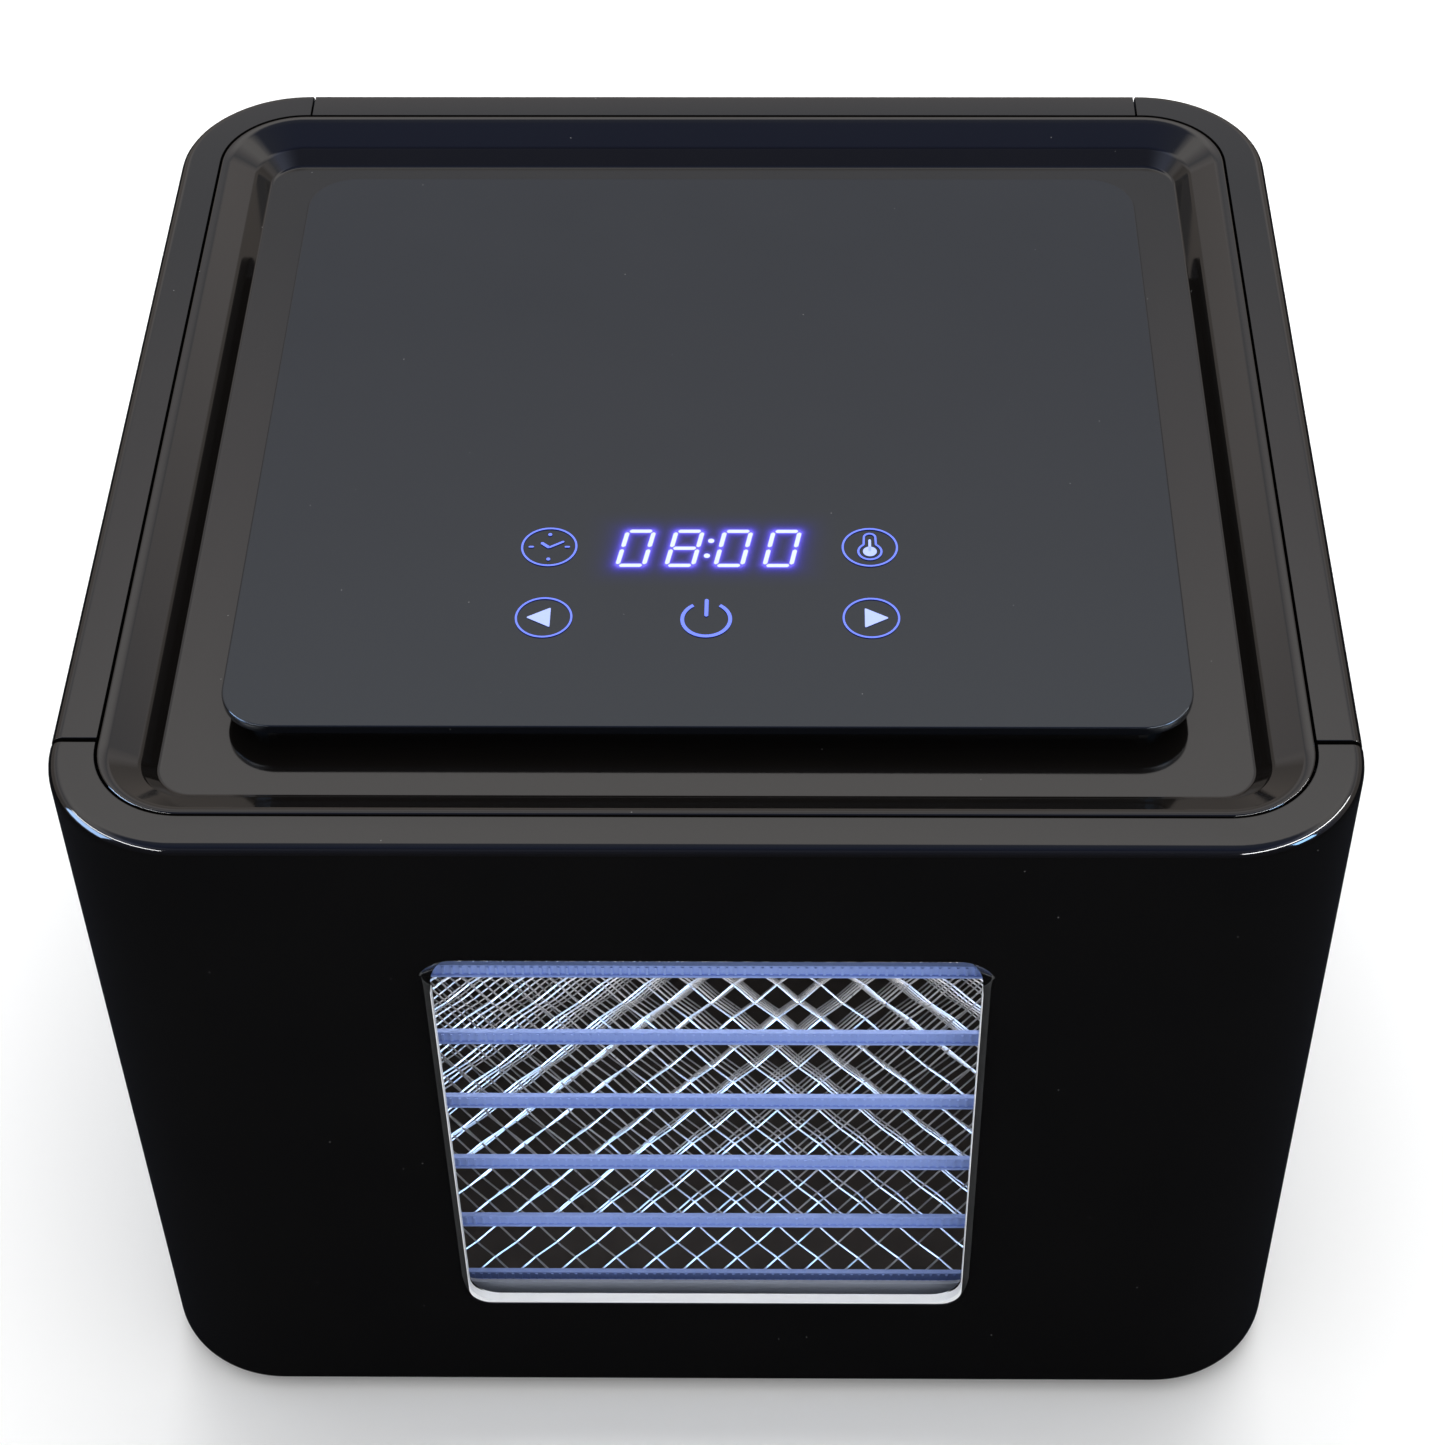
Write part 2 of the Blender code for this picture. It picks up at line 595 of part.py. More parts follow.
def catch(middle):
    """The door's steel strike plate and the magnet that holds it."""
    right = INNER_X - CATCH_FROM_WALL
    low_z, high_z = middle - CATCH_HEIGHT / 2, middle + CATCH_HEIGHT / 2
    plane = catch_plane()
    strike = block("door_strike_plate", (right - CATCH_WIDTH, plane - CATCH_THICKNESS, low_z),
                   (right, plane, high_z), STEEL)
    magnet = block("catch_magnet", (right - CATCH_WIDTH, plane + FIT_GAP, low_z),
                   (right, FRAME_FRONT_Y - FIT_GAP, high_z), DARK_STEEL)
    return strike, magnet


def side_shell(name, side):
    """One side of the casing with its rounded rear corner and its share of the rim."""
    shell = casing_blank(name)
    cut(shell, *(bpy.data.objects[cutter] for cutter in ("casing_cavity", "rim_hole", "base_hole")))
    inner = HALF_W - REAR_SEAM_INSET
    ends = sorted((side * inner, side * WIDTH))
    keep(shell, block(f"{name}_region", (ends[0], BODY_FRONT_Y, -CUT_OVERRUN), (ends[1], DEPTH, RIM_Z * 1.1)))
    cut(shell, bpy.data.objects["left_seam_chamfer" if side < 0 else "right_seam_chamfer"])
    half, front_y = TAB_HEIGHT / 2, INNER_BACK_Y - TAB_THICKNESS
    for row, z in screw_levels():
        tab = sorted((side * (inner + TAB_ROOT), side * (inner - SCREW_IN_FROM_SEAM - TAB_ROOT)))
        root = sorted((side * (inner + FIT_GAP), side * (inner + TAB_ROOT + FIT_GAP)))
        join(shell, block(f"{name}_{row}_root", (root[0], front_y, z - half),
                          (root[1], INNER_BACK_Y + WALL / 2, z + half)))
        join(shell, block(f"{name}_{row}_tab", (tab[0], front_y, z - half),
                          (tab[1], INNER_BACK_Y - FIT_GAP, z + half)))
        x = side * (inner - SCREW_IN_FROM_SEAM)
        cut(shell, rod(f"{name}_{row}_bore", SCREW_RADIUS + FIT_GAP, (x, front_y - CUT_OVERRUN, z),
                       (x, INNER_BACK_Y + CUT_OVERRUN, z), sides=12))
    return shell


def screw_levels():
    return (("low", SHELL_Z + SCREW_FROM_END), ("high", RIM_Z - SCREW_FROM_END))


def screw_places():
    for side, word in ((-1, "left"), (1, "right")):
        for row, z in screw_levels():
            yield f"{row}_{word}", side * (HALF_W - REAR_SEAM_INSET - SCREW_IN_FROM_SEAM), z


def slot_row(prefix, count, pitch, size, centre, along):
    """Straight slots in a row through the back panel, as cutters."""
    for index in range(count):
        place_at = list(centre)
        place_at[along] += (index - (count - 1) / 2) * pitch
        low = (place_at[0] - size[0] / 2, INNER_BACK_Y - CUT_OVERRUN, place_at[2] - size[1] / 2)
        high = (place_at[0] + size[0] / 2, BACK_Y + CUT_OVERRUN, place_at[2] + size[1] / 2)
        yield block(f"{prefix}_{index + 1}", low, high)


def back_panel():
    """Flat back with the air intake behind the fan, the exhaust slots, the inlet hole and screw seats."""
    panel = casing_blank("back_panel")
    cut(panel, *(bpy.data.objects[cutter] for cutter in ("casing_cavity", "rim_hole", "base_hole")))
    x = HALF_W - REAR_SEAM_INSET - SHELL_SEAM
    keep(panel, block("back_region", (-x, 0, -CUT_OVERRUN), (x, DEPTH, RIM_Z * 1.1)))
    cut(panel, *slot_row("intake_slot", INTAKE_SLOTS, INTAKE_SLOT_PITCH,
                         (INTAKE_SLOT_WIDTH, INTAKE_SLOT_HEIGHT), (0, 0, FAN_Z), 2))
    cut(panel, *slot_row("exhaust_slot", EXHAUST_SLOTS, INTAKE_SLOT_PITCH,
                         (INTAKE_SLOT_HEIGHT, EXHAUST_SLOT_HEIGHT), (0, 0, RIM_Z - EXHAUST_FROM_RIM), 0))
    half_w, half_h = INLET_WIDTH / 2 + FIT_GAP, INLET_HEIGHT / 2 + FIT_GAP
    cut(panel, block("inlet_hole", (INLET_X - half_w, INNER_BACK_Y - CUT_OVERRUN, INLET_Z - half_h),
                     (INLET_X + half_w, BACK_Y + CUT_OVERRUN, INLET_Z + half_h)))
    seat_y = BACK_Y - SCREW_HEAD - 2 * FIT_GAP
    for label, x, z in screw_places():
        cut(panel, rod(f"screw_seat_{label}", SCREW_HEAD_RADIUS + FIT_GAP, (x, seat_y, z),
                       (x, BACK_Y + CUT_OVERRUN, z), sides=16))
        cut(panel, rod(f"screw_hole_{label}", SCREW_RADIUS + FIT_GAP, (x, INNER_BACK_Y - CUT_OVERRUN, z),
                       (x, BACK_Y, z), sides=12))
    return panel


def back_screw(label, x, z):
    head_front = BACK_Y - SCREW_HEAD - FIT_GAP
    name = f"back_screw_{label}"
    screw = rod(name, SCREW_HEAD_RADIUS, (x, head_front, z), (x, BACK_Y - FIT_GAP, z), STEEL, sides=16)
    join(screw, rod(f"{name}_shank", SCREW_RADIUS, (x, head_front - SCREW_LENGTH, z),
                    (x, head_front + SCREW_HEAD / 2, z), sides=12))
    return screw


def base_pan():
    return block("base_pan", (-INNER_X + FIT_GAP, FRAME_FRONT_Y, BASE_TOP_Z - FRAME_THICKNESS),
                 (INNER_X - FIT_GAP, INNER_BACK_Y - FIT_GAP, BASE_TOP_Z), DARK_STEEL,
                 corner=CORNER_RADIUS - WALL - FIT_GAP, chosen=lambda middle: middle.y > 0)


def foot(label, x, y):
    return rod(f"foot_{label}", FOOT_SOLE_RADIUS, (x, y, 0), (x, y, SHELL_Z + WALL), RUBBER,
               sides=20, end_radius=FOOT_RADIUS)


def top_cover():
    """The dish: a skirt, a narrow lip, a slope all round and a flat floor, as one moulding."""
    half = Vector((HALF_W - DISH_INSET, BACK_Y - DISH_INSET, DISH_SKIRT / 2))
    mesh_data = bmesh.new()
    bmesh.ops.create_cube(mesh_data, size=2.0)
    bmesh.ops.scale(mesh_data, vec=half, verts=mesh_data.verts)
    bevel(mesh_data, edges_along(mesh_data, 2, lambda middle: True), CORNER_RADIUS - DISH_INSET, CORNER_STEPS)
    mesh_data.faces.ensure_lookup_table()
    bottom = [face for face in mesh_data.faces if face.normal.z < -0.9]
    bmesh.ops.delete(mesh_data, geom=bottom, context="FACES_ONLY")
    top = [face for face in mesh_data.faces if face.normal.z > 0.9]
    bmesh.ops.inset_region(mesh_data, faces=top, thickness=DISH_LIP, use_even_offset=True)
    bmesh.ops.inset_region(mesh_data, faces=top, thickness=DISH_SLOPE, depth=-DISH_DROP, use_even_offset=True)
    mesh = bpy.data.meshes.new("top_cover")
    mesh_data.to_mesh(mesh)
    mesh_data.free()
    cover = place("top_cover", mesh, (0, 0, RIM_Z - half.z), GLOSS_BLACK)
    shell = cover.modifiers.new("shell", "SOLIDIFY")
    shell.thickness = DISH_WALL
    shell.offset = -1
    shell.use_even_offset = True
    x, y = PANEL_HOLE_X, FRONT_Y + DISPLAY_FROM_FRONT
    cut(cover, rod("panel_lead_hole", LEAD_RADIUS * 1.5, (x, y, DISH_UNDER_Z - CUT_OVERRUN),
                   (x, y, DISH_FLOOR_Z + CUT_OVERRUN), sides=12))
    return cover


def pedestal():
    x = PANEL_WIDTH / 2 - PEDESTAL_INSET
    low_y, high_y = PANEL_FRONT_Y + PEDESTAL_INSET, PANEL_BACK_Y - PEDESTAL_INSET
    low_z, high_z = DISH_FLOOR_Z + FIT_GAP, PANEL_UNDER_Z - FIT_GAP
    corner = PANEL_CORNER - PEDESTAL_INSET
    ring = block("pedestal", (-x, low_y, low_z), (x, high_y, high_z), SATIN_BLACK, corner=corner, steps=5)
    wall = PEDESTAL_WALL
    cut(ring, block("pedestal_hollow", (-x + wall, low_y + wall, low_z - CUT_OVERRUN),
                    (x - wall, high_y - wall, high_z + CUT_OVERRUN), corner=corner - wall, steps=5))
    return ring


def control_glass():
    return block("control_glass", (-PANEL_WIDTH / 2, PANEL_FRONT_Y, PANEL_UNDER_Z),
                 (PANEL_WIDTH / 2, PANEL_BACK_Y, RIM_Z), PANEL_GLASS, corner=PANEL_CORNER,
                 top_edge=PANEL_EDGE, edge_steps=1)


def control_board():
    y = FRONT_Y + DISPLAY_FROM_FRONT - BOARD_AHEAD_OF_DISPLAY
    low_z = DISH_FLOOR_Z + FIT_GAP
    return block("control_board", (-BOARD_WIDTH / 2, y - BOARD_DEPTH / 2, low_z),
                 (BOARD_WIDTH / 2, y + BOARD_DEPTH / 2, low_z + BOARD_THICKNESS), BOARD_GREEN)


def display_module():
    x, y = DISPLAY_OFF_CENTRE, FRONT_Y + DISPLAY_FROM_FRONT
    low_z = DISH_FLOOR_Z + BOARD_THICKNESS + 2 * FIT_GAP
    return block("display_module", (x - DISPLAY_WIDTH / 2, y - DISPLAY_DEPTH / 2, low_z),
                 (x + DISPLAY_WIDTH / 2, y + DISPLAY_DEPTH / 2, PANEL_UNDER_Z - FIT_GAP), WHITE_PLASTIC)


def front_frame():
    """Flat face behind the door with a collar that carries the chamber mouth forward into the door."""
    frame = block("front_frame", (-INNER_X + FIT_GAP, FRAME_FRONT_Y, BASE_TOP_Z + FIT_GAP),
                  (INNER_X - FIT_GAP, FRAME_BACK_Y, DISH_UNDER_Z - 2 * FIT_GAP), SATIN_BLACK)
    x = CHAMBER_WIDTH / 2 + COLLAR_WALL
    low_z, high_z = CHAMBER_FLOOR_Z - COLLAR_WALL, CHAMBER_CEILING_Z + COLLAR_WALL
    join(frame, block("collar", (-x, COLLAR_FRONT_Y, low_z), (x, FRAME_BACK_Y - FIT_GAP, high_z),
                      corner=COLLAR_CORNER, axis=1, steps=4))
    x, low_z, high_z = CHAMBER_WIDTH / 2, CHAMBER_FLOOR_Z, CHAMBER_CEILING_Z
    cut(frame, block("collar_hole", (-x, FRONT_Y, low_z), (x, 0, high_z),
                     corner=COLLAR_CORNER - COLLAR_WALL, axis=1, steps=4))
    for end, level, way in hinge_levels():
        low_z, high_z = stack(level, way, LUG_THICKNESS / 2, LUG_THICKNESS + 2 * RUNNING_GAP)
        cut(frame, block(f"frame_notch_{end}", (-HALF_W, FRAME_FRONT_Y - CUT_OVERRUN, low_z),
                         (-INNER_X + BRACKET_ARM + 3 * FIT_GAP, FRAME_BACK_Y + CUT_OVERRUN, high_z)))
    return frame


def tray_levels():
    """Middle height of each tray's rim, from the top tray down."""
    return [LOWEST_TRAY_Z + (TRAY_COUNT - 1 - index) * TRAY_PITCH for index in range(TRAY_COUNT)]


def chamber_side(name, side):
    """Folded sheet wall with one runner under each tray, drawn as a section and drawn out in depth."""
    x_wall = CHAMBER_WIDTH / 2
    outline = [(x_wall + SHEET, CHAMBER_FLOOR_Z + FIT_GAP), (x_wall + SHEET, CHAMBER_CEILING_Z - FIT_GAP),
               (x_wall, CHAMBER_CEILING_Z - FIT_GAP)]
    for level in tray_levels():
        top = level - TRAY_THICKNESS / 2 - FIT_GAP
        under, inner = top - RUNNER_THICKNESS, x_wall - RUNNER_WIDTH
        outline += [(x_wall, top), (inner, top), (inner, under), (x_wall, under)]
    outline.append((x_wall, CHAMBER_FLOOR_Z + FIT_GAP))
    mesh_data = bmesh.new()
    section = mesh_data.faces.new([mesh_data.verts.new((side * x, CHAMBER_FRONT_Y, z)) for x, z in outline])
    drawn = bmesh.ops.extrude_face_region(mesh_data, geom=[section])
    moved = [item for item in drawn["geom"] if isinstance(item, bmesh.types.BMVert)]
    bmesh.ops.translate(mesh_data, vec=(0, CHAMBER_BACK_Y - CHAMBER_FRONT_Y, 0), verts=moved)
    bmesh.ops.recalc_face_normals(mesh_data, faces=mesh_data.faces)
    mesh = bpy.data.meshes.new(name)
    mesh_data.to_mesh(mesh)
    mesh_data.free()
    return place(name, mesh, (0, 0, 0), STEEL)


def chamber_sheet(name, low_z):
    x = CHAMBER_WIDTH / 2 + SHEET
    return block(name, (-x, CHAMBER_FRONT_Y, low_z), (x, CHAMBER_BACK_Y, low_z + SHEET), STEEL)


def tray(index, level):
    """Framed grid: a border and evenly spaced bars, as one sheet given its thickness."""
    name = f"tray_{index}"
    openings = (TRAY_OPENINGS_ACROSS, TRAY_OPENINGS_DEEP)
    spans = (TRAY_WIDTH, TRAY_DEPTH)
    cells = [2 * count + 1 for count in openings]
    mesh_data = bmesh.new()
    bmesh.ops.create_grid(mesh_data, x_segments=cells[0], y_segments=cells[1], size=0.5)

    def spread(place, axis):
        """Grid line positions: a border first and last, then openings and bars in turn."""
        step, span, count = round((place + 0.5) * cells[axis]), spans[axis], openings[axis]
        if step in (0, cells[axis]):
            return -span / 2 if step == 0 else span / 2
        opening = (span - 2 * TRAY_BORDER - (count - 1) * TRAY_BAR) / count
        return TRAY_BORDER + (step // 2) * opening + ((step - 1) // 2) * TRAY_BAR - span / 2

    def is_opening(face):
        middle = face.calc_center_median()
        return all(int((middle[axis] + 0.5) * cells[axis]) % 2 == 1 for axis in (0, 1))

    holes = [face for face in mesh_data.faces if is_opening(face)]
    for vert in mesh_data.verts:
        vert.co.x, vert.co.y = spread(vert.co.x, 0), spread(vert.co.y, 1)
    bmesh.ops.delete(mesh_data, geom=holes, context="FACES_ONLY")
    mesh = bpy.data.meshes.new(name)
    mesh_data.to_mesh(mesh)
    mesh_data.free()
    made = place(name, mesh, (0, TRAY_FRONT_Y + TRAY_DEPTH / 2, level), STEEL)
    sheet = made.modifiers.new("thickness", "SOLIDIFY")
    sheet.thickness = TRAY_THICKNESS
    sheet.offset = 0
    return made


def drip_tray():
    """Shallow pan on the chamber floor."""
    x = DRIP_TRAY_WIDTH / 2
    low_z = CHAMBER_FLOOR_Z + FIT_GAP
    back_y = TRAY_FRONT_Y + TRAY_DEPTH
    sheet, corner = DRIP_TRAY_SHEET, DRIP_TRAY_CORNER
    pan = block("drip_tray", (-x, TRAY_FRONT_Y, low_z), (x, back_y, low_z + DRIP_TRAY_HEIGHT), STEEL,
                corner=corner, steps=4)
    cut(pan, block("drip_tray_hollow", (-x + sheet, TRAY_FRONT_Y + sheet, low_z + sheet),
                   (x - sheet, back_y - sheet, low_z + DRIP_TRAY_HEIGHT + CUT_OVERRUN),
                   corner=corner - sheet, steps=4))
    return pan


def rear_bulkhead():
    """Sheet between the chamber and the fan, slotted over the fan's circle, with a loom hole."""
    sheet = block("rear_bulkhead", (-BULKHEAD_HALF_W, BULKHEAD_FRONT_Y, BASE_TOP_Z + FIT_GAP),
                  (BULKHEAD_HALF_W, BULKHEAD_BACK_Y, DISH_UNDER_Z - 2 * FIT_GAP), STEEL)
    reach = int(GRILLE_RADIUS / GRILLE_PITCH)
    for index in range(-reach, reach + 1):
        x = index * GRILLE_PITCH
        half = sqrt(GRILLE_RADIUS ** 2 - x ** 2)
        cut(sheet, block(f"grille_slot_{index + reach + 1}",
                         (x - GRILLE_SLOT / 2, BULKHEAD_FRONT_Y - CUT_OVERRUN, FAN_Z - half),
                         (x + GRILLE_SLOT / 2, BULKHEAD_BACK_Y + CUT_OVERRUN, FAN_Z + half)))
    x, y, z = panel_route()[LEAD_THROUGH_BULKHEAD]
    cut(sheet, rod("lead_hole", LEAD_RADIUS * 2, (x, y - CUT_OVERRUN, z),
                   (x, y + BULKHEAD_SHEET + CUT_OVERRUN, z), sides=16))
    return sheet


def fan_motor():
    motor = rod("fan_motor", MOTOR_RADIUS, (0, MOTOR_FRONT_Y, FAN_Z),
                (0, MOTOR_FRONT_Y + MOTOR_LENGTH, FAN_Z), DARK_STEEL, sides=32)
    cut(motor, rod("motor_bore", SHAFT_RADIUS + 2 * FIT_GAP, (0, MOTOR_FRONT_Y - CUT_OVERRUN, FAN_Z),
                   (0, MOTOR_FRONT_Y + MOTOR_BORE_DEPTH, FAN_Z), sides=16))
    return motor


def motor_bracket():
    """A bridge on two legs that holds the motor off the bulkhead."""
    x, half_h, sheet = BRACKET_SPAN / 2, BRACKET_HEIGHT / 2, BRACKET_SHEET
    back = MOTOR_FRONT_Y - FIT_GAP
    foot_y = BULKHEAD_BACK_Y + FIT_GAP
    bridge = block("motor_bracket", (-x, back - sheet, FAN_Z - half_h), (x, back, FAN_Z + half_h), STEEL)
    for side, word in ((-1, "left"), (1, "right")):
        leg = sorted((side * x, side * (x - sheet)))
        toe = sorted((side * (x - sheet), side * (x + BRACKET_TOE)))
        join(bridge, block(f"bracket_leg_{word}", (leg[0], foot_y, FAN_Z - half_h),
                           (leg[1], back - sheet / 2, FAN_Z + half_h)))
        join(bridge, block(f"bracket_toe_{word}", (toe[0], foot_y, FAN_Z - half_h * 0.8),
                           (toe[1], foot_y + sheet, FAN_Z + half_h * 0.8)))
    cut(bridge, rod("bracket_bore", SHAFT_RADIUS + 3 * FIT_GAP, (0, back - 2 * sheet, FAN_Z),
                    (0, back + sheet, FAN_Z), sides=16))
    return bridge


def fan_impeller():
    """Hub with evenly spaced pitched blades."""
    fan = rod("fan_impeller", FAN_HUB_RADIUS, (0, FAN_FRONT_Y, FAN_Z), (0, FAN_BACK_Y, FAN_Z),
              SATIN_BLACK, sides=28)
    middle_y = (FAN_FRONT_Y + FAN_BACK_Y) / 2
    root = FAN_HUB_RADIUS * 0.8
    for index in range(FAN_BLADES):
        blade = block(f"fan_blade_{index + 1}", (-FAN_BLADE_CHORD / 2, -FAN_BLADE_THICKNESS / 2, root),
                      (FAN_BLADE_CHORD / 2, FAN_BLADE_THICKNESS / 2, FAN_RADIUS))
        blade.data.transform(Matrix.Translation(blade.location))
        blade.data.transform(Matrix.Rotation(FAN_BLADE_PITCH, 4, "Z"))
        blade.data.transform(Matrix.Rotation(2 * pi * index / FAN_BLADES, 4, "Y"))
        blade.location = (0, middle_y, FAN_Z)
        join(fan, blade)
    cut(fan, rod("impeller_bore", SHAFT_RADIUS + FIT_GAP, (0, FAN_FRONT_Y - CUT_OVERRUN, FAN_Z),
                 (0, FAN_BACK_Y + CUT_OVERRUN, FAN_Z), sides=16))
    return fan


def fan_shaft():
    return rod("fan_shaft", SHAFT_RADIUS, (0, FAN_FRONT_Y - SHAFT_PROUD, FAN_Z),
               (0, MOTOR_FRONT_Y + MOTOR_BORE_DEPTH - 2 * FIT_GAP, FAN_Z), STEEL, sides=16)


def heater_coil():
    """Resistance wire wound as a flat spiral in front of the fan."""
    y = BULKHEAD_BACK_Y + 2 * FIT_GAP + MICA_THICKNESS + HEATER_WIRE_RADIUS
    count = HEATER_TURNS * COIL_STEPS
    points = []
    for index in range(count + 1):
        turn = 2 * pi * index / COIL_STEPS
        radius = HEATER_INNER_RADIUS + (HEATER_OUTER_RADIUS - HEATER_INNER_RADIUS) * index / count
        points.append((radius * cos(turn), y, FAN_Z + radius * sin(turn)))
    return wire("heater_coil", points, HEATER_WIRE_RADIUS, NICHROME)


def heater_frame():
    """Two crossed mica strips that the coil lies on."""
    y = BULKHEAD_BACK_Y + FIT_GAP
    half, wide = HEATER_OUTER_RADIUS + MICA_OVERHANG, MICA_WIDTH / 2
    cross = block("heater_frame", (-half, y, FAN_Z - wide), (half, y + MICA_THICKNESS, FAN_Z + wide), MICA)
    join(cross, block("mica_upright", (-wide, y, FAN_Z - half), (wide, y + MICA_THICKNESS, FAN_Z + half)))
    return cross


def thermal_cutout():
    """A snap disc with two terminal tabs, beside the fan on the bulkhead."""
    x, y, z = BRACKET_SPAN / 2 + CUTOUT_ASIDE, BULKHEAD_BACK_Y + FIT_GAP, FAN_Z + CUTOUT_ABOVE_FAN
    disc = rod("thermal_cutout", CUTOUT_RADIUS, (x, y, z), (x, y + CUTOUT_DEPTH, z), WHITE_PLASTIC, sides=20)
    join(disc, block("cutout_tabs", (x - CUTOUT_RADIUS * 1.5, y, z - CUTOUT_TAB / 2),
                     (x + CUTOUT_RADIUS * 1.5, y + CUTOUT_DEPTH / 5, z + CUTOUT_TAB / 2)))
    return disc


def power_inlet():
    """Three-pin mains socket, fixed from inside with its mouth level with the back."""
    half_w, half_h = INLET_WIDTH / 2, INLET_HEIGHT / 2
    mouth = BACK_Y - FIT_GAP
    inlet = block("power_inlet", (INLET_X - half_w, mouth - INLET_LENGTH, INLET_Z - half_h),
                  (INLET_X + half_w, mouth, INLET_Z + half_h), SATIN_BLACK)
    wide, high = half_w + INLET_FLANGE, half_h + INLET_FLANGE
    join(inlet, block("inlet_flange", (INLET_X - wide, INNER_BACK_Y - INLET_FLANGE_DEPTH, INLET_Z - high),
                      (INLET_X + wide, INNER_BACK_Y - FIT_GAP, INLET_Z + high)))
    wall = INLET_WALL
    cut(inlet, block("inlet_recess", (INLET_X - half_w + wall, mouth - INLET_RECESS, INLET_Z - half_h + wall),
                     (INLET_X + half_w - wall, mouth + CUT_OVERRUN, INLET_Z + half_h - wall)))
    root, tip = mouth - INLET_RECESS - CUT_OVERRUN, mouth - INLET_PIN_BACK
    for side in (-1, 0, 1):
        x = INLET_X + side * INLET_PIN_PITCH
        z = INLET_Z + (INLET_PIN_LEVEL if side else INLET_PIN_LEVEL + INLET_EARTH_RAISE)
        join(inlet, block(f"inlet_pin_{side + 2}", (x - INLET_PIN_WIDTH / 2, root, z - INLET_PIN_HEIGHT / 2),
                          (x + INLET_PIN_WIDTH / 2, tip, z + INLET_PIN_HEIGHT / 2)))
    return inlet


def power_board():
    """Driver board standing behind the bulkhead beside the fan, with its tall parts and stand-offs."""
    x, z = BOARD_X, FAN_Z
    sheet_y = BULKHEAD_BACK_Y + BOARD_STAND_OFF
    half_w, half_h = POWER_BOARD_WIDTH / 2, POWER_BOARD_HEIGHT / 2
    board = block("power_board", (x - half_w, sheet_y, z - half_h),
                  (x + half_w, sheet_y + POWER_BOARD_THICKNESS, z + half_h), BOARD_GREEN)
    face = sheet_y + POWER_BOARD_THICKNESS / 2
    for label, (centre_x, centre_z), (wide, high), tall in BOARD_BLOCKS:
        low = (x + centre_x - wide / 2, face, z + centre_z - high / 2)
        join(board, block(label, low, (low[0] + wide, face + tall, low[2] + high)))
    x_can, z_can = x + CAPACITOR_AT[0], z + CAPACITOR_AT[1]
    join(board, rod("capacitor", CAPACITOR_RADIUS, (x_can, face, z_can),
                    (x_can, face + CAPACITOR_HEIGHT, z_can), sides=14))
    for index in range(4):
        peg_x = x + (half_w - BOARD_PEG_INSET) * (1 if index % 2 else -1)
        peg_z = z + (half_h - BOARD_PEG_INSET) * (1 if index // 2 else -1)
        join(board, rod(f"stand_off_{index + 1}", BOARD_PEG_RADIUS, (peg_x, BULKHEAD_BACK_Y + FIT_GAP, peg_z),
                        (peg_x, face, peg_z), sides=10))
    return board


def mains_route():
    """Hand-laid route of the mains loom, from the inlet under the motor to the driver board."""
    start_y = BACK_Y - INLET_LENGTH - 5 * FIT_GAP
    end_y = BULKHEAD_BACK_Y + BOARD_STAND_OFF + POWER_BOARD_THICKNESS / 2
    wall_y = BULKHEAD_BACK_Y
    return ((INLET_X, start_y, INLET_Z), (INLET_X, start_y - 0.006, INLET_Z), (0.066, wall_y + 0.0152, 0.039),
            (0.040, wall_y + 0.0142, 0.037), (0.0, wall_y + 0.0142, 0.036),
            (-0.055, wall_y + 0.0132, 0.038), (-0.095, wall_y + 0.0112, 0.046),
            (BOARD_X + 0.002, end_y, FAN_Z - POWER_BOARD_HEIGHT / 2 - 0.012),
            (BOARD_X, end_y, FAN_Z - POWER_BOARD_HEIGHT / 2 - FIT_GAP))


def panel_route():
    """Hand-laid route of the panel lead, from the driver board over the chamber to the touch board."""
    start_y = BULKHEAD_BACK_Y + BOARD_STAND_OFF + POWER_BOARD_THICKNESS / 2
    lead_y = FRONT_Y + DISPLAY_FROM_FRONT
    over_z = (CHAMBER_CEILING_Z + SHEET + DISH_UNDER_Z) / 2
    board_top = FAN_Z + POWER_BOARD_HEIGHT / 2
    return ((BOARD_X, start_y, board_top + FIT_GAP), (BOARD_X + 0.002, start_y, board_top + 0.0235),
            (LEAD_HOLE_X - 0.004, start_y - 0.001, CHAMBER_CEILING_Z - 0.002),
            (LEAD_HOLE_X, BULKHEAD_FRONT_Y, over_z), (-0.090, BULKHEAD_FRONT_Y - 0.0343, over_z),
            (-0.040, BULKHEAD_FRONT_Y - 0.0743, over_z), (PANEL_HOLE_X - 0.004, lead_y + 0.014, over_z),
            (PANEL_HOLE_X, lead_y, over_z + 0.004), (PANEL_HOLE_X, lead_y, DISH_FLOOR_Z - FIT_GAP))


def lead(name, route, radius, surface):
    """A round lead on a smooth curve through its route's points."""
    points = [Vector(point) for point in route]
    last = len(points) - 1
    dense = []
    for index in range(last):
        before, here, after = points[max(index - 1, 0)], points[index], points[index + 1]
        beyond = points[min(index + 2, last)]
        for step in range(LEAD_STEPS):
            t = step / LEAD_STEPS
            linear, square = after - before, 2 * before - 5 * here + 4 * after - beyond
            dense.append((2 * here + linear * t + square * t ** 2
                          + (3 * here - before - 3 * after + beyond) * t ** 3) / 2)
    dense.append(points[-1])
    return wire(name, dense, radius, surface)


def wire(name, points, radius, surface):
    curve = bpy.data.curves.new(name, "CURVE")
    curve.dimensions = "3D"
    curve.bevel_depth = radius
    curve.bevel_resolution = 2
    curve.use_fill_caps = True
    spline = curve.splines.new("POLY")
    spline.points.add(len(points) - 1)
    for point, location in zip(spline.points, points):
        point.co = (*location, 1)
    made = bpy.data.objects.new(name, curve)
    PARTS.objects.link(made)
    curve.materials.append(surface)
    return made


